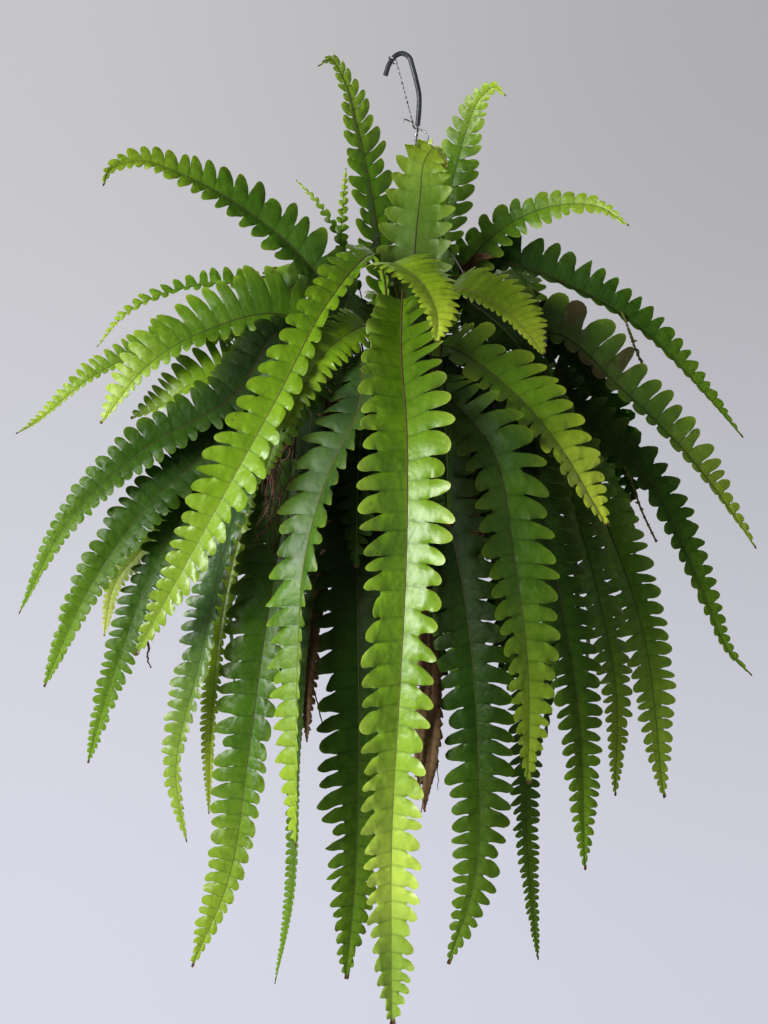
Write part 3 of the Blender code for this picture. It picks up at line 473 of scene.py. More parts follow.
def thickened(points, quads, thickness):
    """A sheet of quads as a thin closed shell. Returns its points and quads, the upper face's first."""
    first, second, third, fourth = (points[quads[:, corner]] for corner in range(4))
    face_normals = np.cross(third - first, fourth - second)
    normals = np.zeros_like(points)
    for corner in range(4):
        np.add.at(normals, quads[:, corner], face_normals)
    aside = units(normals) * (thickness / 2)
    count = len(points)
    edges = np.concatenate([quads[:, [corner, (corner + 1) % 4]] for corner in range(4)])
    _, where, uses = np.unique(np.sort(edges, axis=1), axis=0, return_index=True, return_counts=True)
    rim = edges[where[uses == 1]]
    wall = np.column_stack([rim[:, 1], rim[:, 0], rim[:, 0] + count, rim[:, 1] + count])
    faces = np.concatenate([quads, quads[:, ::-1] + count, wall])
    return np.concatenate([points + aside, points - aside]), faces


def round_quads(grid):
    """The quads between the rows of a grid of point numbers, each of which is a closed ring."""
    beside = np.roll(grid, -1, axis=1)
    return np.stack([grid[:-1], grid[1:], beside[1:], beside[:-1]], -1).reshape(-1, 4)


def tube(line, radii, sides=6, flatten=1.0, spin=0.0):
    """A closed round tube along a line. Returns its points and its faces, the two ends last."""
    line = np.asarray([tuple(point) for point in line], float)
    radii = np.broadcast_to(radii, len(line))
    tangents = units(np.gradient(line, axis=0))
    start = (0.0, 0.0, 1.0) if abs(tangents[0][2]) < 0.9 else (1.0, 0.0, 0.0)
    aside = carried(np.array(start), tangents)
    other = np.cross(tangents, aside)
    angles = (np.arange(sides) / sides * math.tau + spin)[:, None]
    ring_points = aside[:, None] * np.cos(angles) + other[:, None] * np.sin(angles) * flatten
    points = (line[:, None] + ring_points * radii[:, None, None]).reshape(-1, 3)
    grid = np.arange(len(points)).reshape(len(line), sides)
    return points, [round_quads(grid)[:, [0, 3, 2, 1]], [grid[0][::-1]], [grid[-1]]]


# How a frond's blade is cut and how it lies, in percent and degrees: for kinds, for single fronds, and for
# the two sides of the longest one, whose side towards the light has longer hooks. notch is the share of the
# half width that stays whole, pitch a lobe's length along the rib as a share of the half width, lean how far
# lobes point to the tip, and back how much less they do so at the base. gap is how wide the cuts are, hook
# how much a lobe's edge on the base's side slants, and cap how much of a lobe is its round end. Lobes turn
# about their own lines by tilt, in degrees, bend down by curl and swell by crown. The blade twists by
# wobble, in degrees, rises from the rib by valley and bends down again by droop. vee is how far the cuts
# are shaped like a V and not a U.
Look = namedtuple("Look", "notch pitch lean back gap hook cap tilt curl crown wobble valley droop vee",
                  defaults=(0,))
IN_DEGREES = ("tilt", "wobble")
LOOKS = {
    "shade": (34, 55, 12, 0, 22, 30, 60, 9, 8, 8, 8, 30, 25),
    "old": (34, 47, 10, 10, 14, 30, 66, 9, 10, 10, 6, 34, 24),
    "blue": (40, 47, 6, 10, 18, 50, 56, 10, 12, 12, 6, 36, 22),
    "mature": (36, 47, 8, 10, 14, 30, 68, 10, 10, 11, 6, 40, 26),
    "young": (32, 50, 10, 0, 12, 22, 74, 9, 8, 12, 6, 36, 24),
    "pale": (42, 54, 10, 0, 10, 30, 60, 14, 10, 10, 9, 40, 30),
    "blond": (60, 60, 10, 0, 14, 50, 60, 14, 10, 10, 9, 10, 10),
    "dry": (72, 80, 30, 0, 20, 40, 50, 40, 60, 30, 50, 70, 110),
    "crown_1": (24, 56, 42, 0, 12, 6, 50, 6, 4, 12, 4, 14, 8),
    "crown_2": (30, 58, 26, 0, 12, 12, 52, 8, 8, 14, 5, 20, 14),
    "crown_3": (56, 50, 4, 10, 22, 70, 85, 12, 10, 14, 5, 6, 12, 60),
    "crown_4": (36, 48, 12, 0, 26, 20, 74, 8, 6, 12, 5, 36, 24, 80),
    "crown_5": (5, 95, 10, 0, 30, 10, 75, 25, 20, 20, 12, 10, 10),
    "crown_6": (36, 56, 10, 0, 12, 20, 70, 8, 6, 12, 5, 36, 24),
    "crown_7": (5, 95, 20, 0, 30, 10, 75, 25, 20, 20, 12, 10, 10),
    "front_4": (40, 50, 14, 15, 30, 70, 55, 12, 14, 14, 5, 40, 22, 30),
    "front_3": (46, 47, 12, 10, 18, 36, 44, 11, 16, 14, 4, 28, -6),
    "left_2": (30, 50, 6, 0, 16, 20, 74, 9, 8, 12, 6, 36, 24, 60),
    "left_2_behind": (22, 50, 4, 0, 24, 20, 70, 9, 8, 12, 5, 36, 24, 60),
    "left_3": (30, 48, 4, 0, 18, 20, 70, 9, 8, 12, 5, 36, 24, 50),
    "left_9": (40, 56, 10, 0, 16, 30, 60, 10, 10, 10, 7, 40, 30),
    "left_4": (42, 44, -8, 0, 13, 22, 58, 9, 8, 11, 5, 40, 26, 90),
    "left_5": (46, 42, -6, 0, 12, 22, 55, 9, 8, 11, 5, 40, 26, 90),
    "left_10": (40, 46, 6, 0, 9, 36, 52, 9, 10, 11, 6, 36, 20),
    "lower_1": (48, 47, 10, 10, 14, 60, 56, 9, 10, 10, 6, 34, 24),
    "lower_3": (44, 50, 8, 20, 26, 42, 48, 9, 8, 10, 5, 30, 10),
    "left_1": (6, 64, 6, 0, 34, 15, 60, 9, 5, 12, 4, 20, 20, 40),
    "right_1": (46, 66, -10, 0, 44, 16, 80, 8, 6, 10, 4, 30, 10, 100),
    "right_2": (27, 62, -16, 0, 22, 10, 60, 10, 8, 12, 5, 30, 10, 60),
    "right_3": (44, 68, -10, 0, 32, 26, 72, 9, 8, 12, 5, 30, 10, 80),
    "right_4": (36, 38, 18, 55, 14, 25, 46, 7, 6, 14, 3, 24, 4),
    "right_5": (66, 32, 5, 10, 16, 60, 60, 9, 10, 12, 3, 10, 20),
    "front_1": (56, 36, 2, 20, 26, 60, 66, 12, 10, 12, 4, 30, 20, 60),
    "front_5": (50, 40, 6, 20, 22, 50, 60, 12, 10, 12, 4, 30, 20, 50),
    ("front_2", 1): (50, 45, 10, 10, 22, 62, 44, 10, 18, 16, 4, 29, -16),
    ("front_2", -1): (44, 46, 4, 95, 28, 36, 50, 11, 18, 16, 4, 23, -16, 20),
}
# How wide each side of a blade is, where the frond is folded or turned so that one side shows less
SIDE_WIDTHS = {
    "crown_1": (1.1, 0.78), "crown_4": (1.15, 0.72), "crown_5": (0.8, 0.75), "crown_7": (0.55, 0.5),
    "right_1": (0.36, 1.4), "right_2": (0.38, 1.4), "right_3": (0.75, 1.15), "right_4": (0.6, 1.02),
    "right_5": (0.4, 1.45), "front_1": (1.0, 1.5), "front_4": (1.05, 0.55), "front_7": (0.9, 0.35),
    "left_1": (1.1, 0.4), "left_2": (1.8, 0.66), "left_2_behind": (1.45, 0.5), "left_3": (1.8, 0.45),
    "left_4": (1.12, 0.8), "left_5": (1.1, 0.85), "left_8": (1.0, 0.5), "left_9": (1.15, 0.6),
    "left_10": (1.05, 0.62), "lower_1": (1.2, 1.0), "lower_3": (0.8, 1.05),
}
# How a side's width differs along the blade: places along it, and the share of the width at each
SIDE_CURVES = {
    ("front_2", 1): ((0.3, 0.52, 0.69, 0.8, 0.93), (1, 0.90, 0.74, 0.76, 0.9)),
    ("front_2", -1): ((0.3, 0.42, 0.75, 0.93), (1, 0.80, 0.74, 1.2)),
    ("front_3", 1): ((0.3, 0.4, 0.51, 0.62), (0.6, 0.65, 0.82, 1)),
    ("front_3", -1): ((0, 0.4, 0.51, 0.62), (0.15, 0.35, 0.57, 1)),
    ("front_4", -1): ((0.46, 0.53), (1, 0.3)),
    ("front_7", -1): ((0.55, 0.8), (0.3, 1)),
    ("right_2", -1): ((0, 0.2), (1.5, 1)),
    ("right_1", -1): ((0, 0.2), (1.3, 1)),
    ("left_2", 1): ((0, 0.25), (1.5, 1)),
}
# Fronds with narrower lobes at the base: the share of the pitch there, and how far along it is full
CROWDED_BASES = {"right_2": (0.6, 0.25)}
# Fronds whose first lobes are joined less or more on each side, as a share of how they are further along
JOINED_BASES = {"lower_3": (0.05, 0.05), "front_6": (0.1, 0.1), "right_4": (0.35, 0.35),
                "front_2": (2.0, 0.15), "right_2": (0.6, 0.9)}
# Fronds that narrow or start in another way than their solids, are turned about their ribs by some
# degrees, or have another power of the curve by which the blade narrows
TAPERS = {"crown_1": 3.0, "crown_2": 3.2, "crown_3": 3.0, "front_2": 4.2}
STARTS = {"lower_3": 0.29, "front_1": 0.50, "front_2": 0.165, "left_10": 0.26, "right_2": 0.12}
SPINS = {"front_1": 60}
POWERS = {"crown_1": 1.2, "crown_2": 1.1, "left_2_behind": 0.85, "front_2": 0.75}
# Fronds whose surface is that of another kind
PAINTS = {
    "crown_3": "capped", "right_4": "capped", "right_5": "lime", "front_1": "lemon", "front_2": "sunny",
    "front_4": "satin", "front_5": "fresh", "left_3": "fresh", "left_4": "old", "left_9": "lemon",
    "left_10": "mature", "lower_1": "shaded_old", "lower_2": "shaded_old", "lower_6": "mature", "lower_7": "young",
}

BLADE_SKIN = 0.00035
RIB_THICK = 0.001
RIB_THIN = 0.00032
RIB_SIDES = 6
# How much closer together lobes are where the blade is narrow, and the least that one takes of the rib
CROWDED = 0.42
LEAST_PITCH = 0.0042
LEAST_LOBE = 0.0004
LEAST_WIDTH = 0.0015
# The most that stays whole at a cut, and the most that a lobe may stand out, as shares of the half width
MOST_NOTCH = 0.94
MOST_OUT = 1.15
# The shares of lobes that are short or turned, and by how much
SHORT_LOBES = 0.06
SHORTER = 0.75
TURNED_LOBES = 0.05
TURNED_MORE = 3.5
# A lobe's columns, and its rows inside and outside the cuts: fewer where a blade is small or behind
FINE = (7, 2, 6)
MEDIUM = (6, 2, 5)
COARSE = (5, 2, 4)
COARSEST = (4, 2, 4)
FINE_FROM = 0.0285
MEDIUM_FROM = 0.0195


def look_of(frond, side):
    """How one side of a frond is cut and lies, as shares but for its two angles."""
    row = LOOKS.get((frond.name, side)) or LOOKS.get(frond.name) or LOOKS[frond.kind]
    look = Look(*row)
    return Look(*[value if field in IN_DEGREES else value / 100 for field, value in zip(look._fields, look)])


def of_side(pair, side):
    """The value of a pair for side 1 or for side -1."""
    return pair[0 if side == 1 else 1]


def width_at(frond, share):
    """Half the blade's width, as a share of the most, at these shares of the blade's length."""
    swell = 0.5 + 0.5 * np.sin(np.minimum(share / 0.2, 1) * math.pi / 2)
    power = POWERS.get(frond.name, 0.95 if frond.taper <= 2 else 0.8)
    return swell * (1 - share ** frond.taper) ** power


def side_width(frond, side, places):
    """How wide one side of a blade is at these shares of its length."""
    share = of_side(SIDE_WIDTHS.get(frond.name, (1, 1)), side)
    curve = SIDE_CURVES.get((frond.name, side), ((0,), (1,)))
    return frond.width * share * width_at(frond, places) * np.interp(places, *curve)


def drift(draw, places):
    """A smooth random curve between -1 and 1."""
    phases = draw.uniform(0, math.tau, 3)
    return (np.sin(places * 7 + phases[0]) + np.sin(places * 17 + phases[1])
            + 0.7 * np.sin(places * 31 + phases[2])) / 2.7


def lobe_edges(frond, rib, look, side, draw):
    """Where the lobes of one side begin along the blade, closer together where the blade is narrow."""
    shares = np.linspace(0, 1, 160)
    pitches = frond.width * look.pitch * (CROWDED + (1 - CROWDED) * width_at(frond, shares))
    narrower, full = CROWDED_BASES.get(frond.name, (1, 1))
    pitches *= np.interp(shares, (0, full), (narrower, 1))
    pitches = np.maximum(pitches * (1 + 0.12 * drift(draw, shares)), LEAST_PITCH)
    blade = rib.length * (1 - frond.start)
    counted = np.concatenate([[0], np.cumsum(np.diff(shares) * blade * 2 / (pitches[1:] + pitches[:-1]))])
    count = max(5, round(counted[-1]))
    steps = np.linspace(0, counted[-1], count + 1)
    steps[1:-1] += side * 0.25 + draw.uniform(-0.16, 0.16, count - 1)
    return np.interp(steps, counted, shares)


def quads_of(grids):
    """The quads of several grids of point numbers."""
    corners = [grids[:, :-1, :-1], grids[:, :-1, 1:], grids[:, 1:, 1:], grids[:, 1:, :-1]]
    return np.stack(corners, -1).reshape(-1, 4)


def blade_side(frond, rib, side, draw, detail):
    """One side of a blade as a sheet: points, quads, and each point's place on its lobe and on the frond.

    The inner part runs along the rib without cuts, and each lobe goes on from it. Arrays of the lobes
    have the axes lobe, row and column. Out is a point's distance from the rib, along its place on the
    blade from 0 to 1, and lift its height over the plane of the rib.
    """
    look = look_of(frond, side)
    columns, inner_rows, outer_rows = detail
    edges = lobe_edges(frond, rib, look, side, draw)
    count = len(edges) - 1
    each = (count, 1, 1)
    blade = rib.length * (1 - frond.start)
    across_lobe = -np.cos(np.linspace(0, math.pi, columns + 1))
    half_share = (np.diff(edges) / 2).reshape(each)
    half = half_share * blade
    middle = ((edges[1:] + edges[:-1]) / 2).reshape(each)

    place = np.append((middle + half_share * across_lobe[:-1]).ravel(), edges[-1])
    side_shape = np.append(np.tile(across_lobe[:-1], count), 1)
    joined = of_side(JOINED_BASES.get(frond.name, (0.6, 0.6)), side)
    notch = (joined + (1 - joined) * np.minimum(edges / 0.25, 1)) * (1 + 0.18 * drift(draw, edges))
    notch = np.minimum(look.notch * notch * draw.uniform(0.85, 1.15, count + 1), MOST_NOTCH)
    notch_line = np.interp(place, edges, notch * side_width(frond, side, edges))
    half_line = np.append(np.repeat(half, columns), half[-1])
    tones = draw.uniform(0, 1, each)
    ease = np.arange(inner_rows + 1)[:, None] / inner_rows
    inner_out = ease * notch_line
    inner_lift = (1 - side_shape ** 2) * half_line * look.crown * ease ** 2

    lengths = 0.97 + 0.06 * drift(draw, middle) + draw.uniform(-0.08, 0.06, each)
    lengths *= np.where(draw.uniform(0, 1, each) < SHORT_LOBES, SHORTER, 1)
    row_starts = np.arange(count)[:, None] * columns + np.arange(columns + 1)
    base = notch_line[row_starts][:, None, :]
    base_mean = base.mean(axis=2, keepdims=True)
    reach = np.maximum(side_width(frond, side, middle) * lengths - base_mean, LEAST_LOBE)
    cap = look.cap * draw.uniform(0.8, 1.15, each) * np.where(across_lobe < 0, 1.1, 0.8)
    end = base_mean + reach * (1 - cap * (1 - np.maximum(1 - np.abs(across_lobe) ** 2.2, 0) ** 0.5))
    end = np.maximum(end, base + reach * 0.2)
    step = ((np.arange(1, outer_rows + 1) / outer_rows) ** 1.3)[:, None]
    outer_out = base + step * (end - base)
    along_lobe = np.clip((outer_out - base_mean) / reach, 0, 1)

    gap = look.gap * (1 + 0.4 * drift(draw, middle)) * draw.uniform(0.6, 1.4, each)
    hook = look.hook * draw.uniform(0.5, 1.4, each)
    rounded = 0.5 * np.sqrt(np.minimum(along_lobe / 0.15, 1)) + 0.5 * along_lobe
    opened = gap * (rounded + look.vee * (along_lobe - rounded))
    low = -1 + 1.2 * opened + hook * along_lobe ** 1.5
    high = 1 - 0.8 * opened
    shape = (low + high) / 2 + across_lobe * (high - low) / 2
    turned = np.where(draw.uniform(0, 1, each) < TURNED_LOBES, TURNED_MORE, 1)
    turning = np.radians(look.tilt) * draw.normal(0, 1, each) * turned * along_lobe
    wave = np.sin(draw.uniform(0, math.tau, each) + along_lobe * 7 + across_lobe * 1.5)
    side_way = shape * half * np.cos(turning)
    sway = draw.normal(0, 0.08, each) * along_lobe * reach
    side_way += sway + wave * np.abs(across_lobe) ** 3 * half * 0.05
    bend = look.curl * draw.uniform(-0.3, 1.8, each)
    outer_lift = (1 - across_lobe ** 2) * half * look.crown * (1 - 0.5 * along_lobe)
    outer_lift = outer_lift + shape * half * np.sin(turning) - bend * along_lobe ** 2 * reach
    outer_lift += wave * across_lobe ** 2 * np.minimum(half, reach * 0.6) * 0.12

    strip = np.arange(inner_out.size).reshape(inner_out.shape)
    outer = inner_out.size + np.arange(outer_out.size).reshape(outer_out.shape)
    lobes = np.concatenate([strip[-1][row_starts][:, None, :], outer], axis=1)
    quads = np.concatenate([quads_of(strip[None]), quads_of(lobes)])
    if side == 1:
        quads = quads[:, ::-1]

    def both(inner, lobed):
        """A value for each point, from those of the inner part and of the lobes."""
        return np.concatenate([np.broadcast_to(inner, inner_out.shape).ravel(),
                               np.broadcast_to(lobed, outer_out.shape).ravel()])

    out = both(inner_out, outer_out)
    along = both(place, middle + side_way / blade)
    lift = both(inner_lift, outer_lift)
    whole = np.maximum(side_width(frond, side, np.clip(along, 0, 1)), LEAST_WIDTH)
    sideways = np.minimum(out / whole, MOST_OUT)
    lift += (look.valley * sideways - look.droop * sideways ** 2) * whole
    lift += whole * 0.06 * drift(draw, along) * sideways
    lean = look.lean - look.back * (1 - np.clip(along / 0.35, 0, 1))
    shares = frond.start + along * (1 - frond.start) + (lean * out + 0.10 * out * sideways) / rib.length
    angles = math.radians(SPINS.get(frond.name, 0)) + np.radians(look.wobble) * drift(draw, along * 0.6)
    point, across, up = rib.at(shares, angles)
    points = point + across * (side * out)[:, None] + up * lift[:, None]

    margin = np.zeros(outer_out.shape)
    margin[:, :, [0, -1]] = 1
    margin[:, -1] = 1
    from_middle = both(np.abs(side_shape), np.abs(across_lobe))
    tone = both(np.interp(place, middle.ravel(), tones.ravel()), tones)
    leaf = np.column_stack([from_middle, sideways, along])
    return points, quads, leaf, np.column_stack([tone, both(0, margin)])


def add_blade(shape, frond, rib, draw, detail):
    """Both sides of a blade as thin closed shells, and the midrib with its stem."""
    for side in (1, -1):
        points, quads, leaf, tone = blade_side(frond, rib, side, draw, detail)
        points, faces = thickened(points, quads, BLADE_SKIN)
        under = np.repeat([0.0, 1.0], len(leaf))
        shape.add(points, [faces], 0, np.tile(leaf, (2, 1)), np.column_stack([np.tile(tone, (2, 1)), under]))
    thick = (RIB_THICK - RIB_THIN) * min(1, 0.5 + frond.width / 0.06)
    points, faces = tube(rib.points, RIB_THIN + thick * (1 - rib.shares) ** 0.8, RIB_SIDES)
    along = np.repeat(rib.shares, RIB_SIDES)
    shape.add(points, faces, 1, np.column_stack([along * 0, along * 0, along]))


def settled_rib(frond, node):
    """The midrib of the solid: its foot and its layer are those that its own points agree with."""
    corners = np.array([vertex.co[:] for vertex in node.data.vertices])

    def misses(point):
        return np.linalg.norm(corners - np.array(point), axis=1).min()

    def foot_of(shift):
        root = frond.root + shift
        return Vector((root.x, root.y, soil_height(root.length) - HOLE_DEPTH))

    shift = min(root_shifts(), key=lambda move: misses(foot_of(move)))
    layers = [layer * LAYER_STEP for layer in range(MOST_LAYERS)]
    out = min(layers, key=lambda layer: misses(moved_out(frond.knots[-1], layer, frond.name)))
    return rib_of(frond._replace(root=frond.root + shift), out)


def detail_of(frond):
    if frond.name.startswith("back") or frond.width < MEDIUM_FROM:
        return COARSE
    return MEDIUM if frond.width < FINE_FROM else FINE


def make_fronds(nodes, leaves):
    """A fine frond in the place of each solid one."""
    for index, frond in enumerate(all_fronds()):
        draw = np.random.default_rng(SEED + index)
        name = frond.name
        solid = "frond_" + name
        frond = frond._replace(taper=TAPERS.get(name, frond.taper), start=STARTS.get(name, frond.start))
        shape = Shape()
        add_blade(shape, frond, settled_rib(frond, nodes[solid]), draw, detail_of(frond))
        shape.piece("leaf_" + name, leaves[PAINTS.get(name, frond.kind)], [solid])


def make_fillers(leaves):
    """The shaded fronds, which stand for no solid and stay inside the outline of those that do."""
    draw = random.Random(SEED + 1)
    fillers = tier_fronds(FILL_TIERS, draw, "inner_") + [photo_frond(*row) for row in FILLERS]
    for frond in fillers:
        angle = math.degrees(math.atan2(frond.root.y, frond.root.x)) % 360
        if frond.rise is not None and ROOTS_SEEN[0] < angle < ROOTS_SEEN[1]:
            continue
        shape = Shape()
        blade_draw = np.random.default_rng(draw.randrange(10000))
        add_blade(shape, frond, rib_of(frond, 0), blade_draw, COARSEST)
        shape.piece("leaf_" + frond.name, leaves["shade"])


# Twigs and runners: the pixels of the photo that they pass, each with how far it is towards the camera in
# cm, and how thick the twigs are
TWIGS = [
    ([(329, 528, 13.6), (337, 550, 14.4), (319, 577, 14.8), (311, 605, 15), (306, 640, 15), (312, 680, 15),
      (322, 722, 14.8)], 0.0012),
    ([(324, 535, 14), (338, 532, 14.2), (356, 528, 14)], 0.0006),
    ([(441, 660, 14.6), (434, 720, 15), (427, 765, 15), (421, 812, 14.6)], 0.0011),
    ([(432, 735, 15), (437, 760, 14.8), (438, 791, 14.4)], 0.0006),
    ([(263, 470, 11.4), (268, 505, 12), (274, 538, 12), (271, 566, 11.6)], 0.0008),
    ([(283, 486, 11.6), (276, 512, 12.1), (286, 536, 12.4), (280, 560, 12.2)], 0.0007),
    ([(146, 640, 13.4), (149, 650, 12.6), (147, 658, 12.4), (151, 668, 12.6)], 0.0012),
]
RUNNERS = [
    [(622, 312, -1.9), (629, 330, -1.6), (634, 345, -1.4), (642, 364, -1.2)],
    [(622, 462, 3.4), (632, 484, 3.8), (641, 509, 4), (656, 541, 4)],
]
RUNNER_RADIUS = 0.0009
STRANDS = 20
STRAND_PLACE = (282, 424, 12.6)
# Where the random draws of the twigs, runners, scraps and strands begin
TWIG_SEED = SEED + 100
RUNNER_SEED = SEED + 120
SCRAP_SEED = SEED + 140
STRAND_SEED = SEED + 160


def make_twigs(material):
    for index, (places, radius) in enumerate(TWIGS):
        draw = np.random.default_rng(TWIG_SEED + index)
        line = smooth_line(photo_line(places), 6)
        line = line + draw.normal(0, 0.0004, line.shape)
        shape = Shape()
        uneven = draw.uniform(0.8, 1.2, len(line))
        shape.add(*tube(line, radius * np.linspace(1, 0.45, len(line)) * uneven, 7))
        shape.piece(f"twig_{index + 1}", [material])


def make_runners(material):
    """The two young runners, with beads where leaves will grow."""
    for index, places in enumerate(RUNNERS):
        draw = np.random.default_rng(RUNNER_SEED + index)
        line = smooth_line(photo_line(places))
        shape = Shape()
        shape.add(*tube(line, RUNNER_RADIUS))
        for bead in line[2::2]:
            way = draw.normal(0, 1, 3) * 0.0016
            shape.add(*tube([bead - way * 0.5, bead, bead + way * 1.2], (0.0008, 0.0017, 0.0005), 5))
        shape.piece(f"runner_{index + 1}", [material])


def make_scraps(leaves):
    """The loose ends of leaves among the fronds."""
    for index, row in enumerate(SCRAPS):
        frond = photo_frond(*row)
        shape = Shape()
        add_blade(shape, frond, rib_of(frond, 0), np.random.default_rng(SCRAP_SEED + index), COARSE)
        shape.piece("leaf_" + frond.name, leaves[frond.kind])


def make_strands(material):
    """The loose ends of the root tangle, which hang down through the gap beside it."""
    draw = np.random.default_rng(STRAND_SEED)
    shape = Shape()
    for _ in range(STRANDS):
        across = STRAND_PLACE[0] + draw.uniform(-26, 16)
        down = STRAND_PLACE[1] + draw.uniform(0, 60)
        reach = STRAND_PLACE[2] + draw.uniform(-0.9, 0.7)
        places = []
        for step in range(draw.integers(4, 7)):
            places.append((across, down, reach))
            across += draw.normal(-1, 9)
            down += draw.uniform(10, 24)
            reach += draw.normal(0.06, 0.25)
        line = smooth_line(photo_line(places), 5)
        radius = draw.uniform(0.0004, 0.001)
        shape.add(*tube(line, radius * np.linspace(1, 0.4, len(line)), 5), tone=(draw.uniform(0, 0.6), 0, 0))
    shape.piece("root_strands", [material])


def node(kind, inputs, output=0, tree=None, **settings):
    """Adds a shader node to a tree, or to that of its inputs. Links inputs that are sockets, sets others."""
    linked = {key: value for key, value in inputs.items() if isinstance(value, bpy.types.NodeSocket)}
    for value in linked.values():
        tree = value.id_data
    made = tree.nodes.new("ShaderNode" + kind)
    for label, value in settings.items():
        setattr(made, label, value)
    for key, value in inputs.items():
        if key in linked:
            tree.links.new(value, made.inputs[key])
        else:
            made.inputs[key].default_value = value
    return made.outputs[output]


def plus(first, second):
    return node("Math", {0: first, 1: second}, operation="ADD")


def minus(first, second):
    return node("Math", {0: first, 1: second}, operation="SUBTRACT")


def times(first, second):
    return node("Math", {0: first, 1: second}, operation="MULTIPLY")


def stepped(value, low, high, to_low=0, to_high=1):
    """The value eased from low to high."""
    limits = {0: value, 1: low, 2: high, 3: to_low, 4: to_high}
    return node("MapRange", limits, interpolation_type="SMOOTHSTEP")


def blended(share, first, second, how="MIX"):
    """A mix of two colours, each a socket or three numbers."""
    first, second = [value if isinstance(value, bpy.types.NodeSocket) else (*value, 1)
                     for value in (first, second)]
    return node("Mix", {0: share, 6: first, 7: second}, output=2, data_type="RGBA", blend_type=how)


def noise_of(place, scale, detail=3):
    return node("TexNoise", {"Vector": place, "Scale": scale, "Detail": detail, "Roughness": 0.55})


def parts_of(vector):
    """The three parts of a vector."""
    return [node("SeparateXYZ", {0: vector}, output=axis) for axis in range(3)]


def own_values(tree, name):
    """The three values that the mesh's points hold under this name."""
    return parts_of(node("Attribute", {}, 1, tree, attribute_name=name))


def new_material(name):
    """A material with an empty Principled surface. Returns it, its tree, the surface and the place."""
    material = bpy.data.materials.new(name)
    material.use_nodes = True
    tree = material.node_tree
    return material, tree, tree.nodes["Principled BSDF"], node("TexCoord", {}, 3, tree)


def connect(surface, colour, roughness, height, depth, strength=0.6, **values):
    """Gives a surface its colour, roughness, a bump from a height, this deep in metres, and other values."""
    bump = node("Bump", {"Strength": strength, "Distance": depth, "Height": height})
    for label, socket in (("Base Color", colour), ("Roughness", roughness), ("Normal", bump)):
        surface.id_data.links.new(socket, surface.inputs[label])
    for label, value in values.items():
        surface.inputs[label.replace("_", " ")].default_value = value


# The kinds of leaf: the colours of the base, darker with painted shade, of the bright part and of the tip,
# in thousandths, and in percent how rough, stained, coated and specular it is. shade is more painted shade
# on the
# base: how much darker the base is, how far along the frond, and how much rougher it is there.
Green = namedtuple("Green", "deep bright tip rough stain coat specular shade", defaults=(None,))
GREENS = {
    # The first two kinds are dark as painted shade, for the fillers and for two fronds that hang behind
    # others
    "shade": Green((4, 12, 2), (12, 34, 4), (22, 55, 6), 75, 10, 0, 12),
    "shaded_old": Green((6, 22, 2), (24, 66, 4), (105, 195, 10), 42, 10, 0, 14, (90, 60, 30)),
    "old": Green((10, 34, 3), (36, 96, 6), (150, 270, 14), 42, 10, 0, 17, (85, 50, 30)),
    "blue": Green((14, 55, 12), (60, 150, 28), (260, 380, 30), 36, 10, 28, 32),
    "mature": Green((20, 64, 3), (66, 160, 6), (250, 370, 20), 38, 10, 12, 24, (60, 40, 20)),
    "young": Green((36, 100, 3), (95, 205, 6), (340, 480, 40), 40, 5, 12, 26),
    "fresh": Green((88, 205, 3), (205, 370, 5), (205, 320, 16), 36, 5, 45, 32),
    "sunny": Green((70, 175, 3), (205, 385, 7), (590, 750, 110), 38, 5, 38, 32, (60, 30, 0)),
    "capped": Green((40, 110, 3), (115, 230, 4), (520, 640, 45), 38, 5, 30, 32, (70, 60, 0)),
    "lemon": Green((90, 185, 4), (230, 370, 8), (440, 560, 40), 40, 5, 20, 32),
    "lime": Green((60, 125, 3), (180, 300, 7), (460, 580, 40), 40, 5, 20, 32, (60, 60, 0)),
    "satin": Green((12, 50, 6), (88, 210, 12), (330, 480, 30), 42, 10, 15, 26, (75, 50, 35)),
    "pale": Green((120, 210, 20), (260, 370, 50), (480, 540, 110), 45, 15, 10, 32),
    "blond": Green((320, 420, 60), (480, 580, 110), (620, 690, 190), 50, 10, 0, 32),
    "stained": Green((30, 80, 5), (80, 165, 10), (260, 360, 25), 40, 100, 15, 32),
    "dry": Green((35, 17, 8), (105, 58, 28), (170, 105, 55), 80, 60, 0, 12),
}
# How fine the noises on a leaf are, from its patches to its grain, and how deep its relief is
PATCH_SCALE = 18
BLOTCH_SCALE = 130
SPECK_SCALE = 210
GRAIN_SCALE = 900
LEAF_RELIEF = 0.0028
COAT_ROUGHNESS = 0.34
# How light shines through a leaf: how much, how far in each colour, and how deep
GLOW = 0.35
GLOW_RADIUS = (0.7, 1.0, 0.25)
GLOW_DEPTH = 0.0012
# What creases and shaded bases are multiplied by as painted shade, and the colours of small parts of a leaf
PAINTED_CREASE_SHADE = (0.42, 0.50, 0.40)
PAINTED_BASE_SHADE = (0.40, 0.42, 0.36)
SPECK = (0.10, 0.045, 0.015)
BROWN_END = (0.09, 0.035, 0.015)
STAIN = (0.055, 0.030, 0.014)
# The sunny frond is greener again where it hangs steeply, before its tip
STEEP_GREEN = (0.150, 0.285, 0.010)
SCALE_BROWN = (0.018, 0.010, 0.006)


def colours_of(green):
    return [tuple(channel / 1000 for channel in colour) for colour in (green.deep, green.bright, green.tip)]


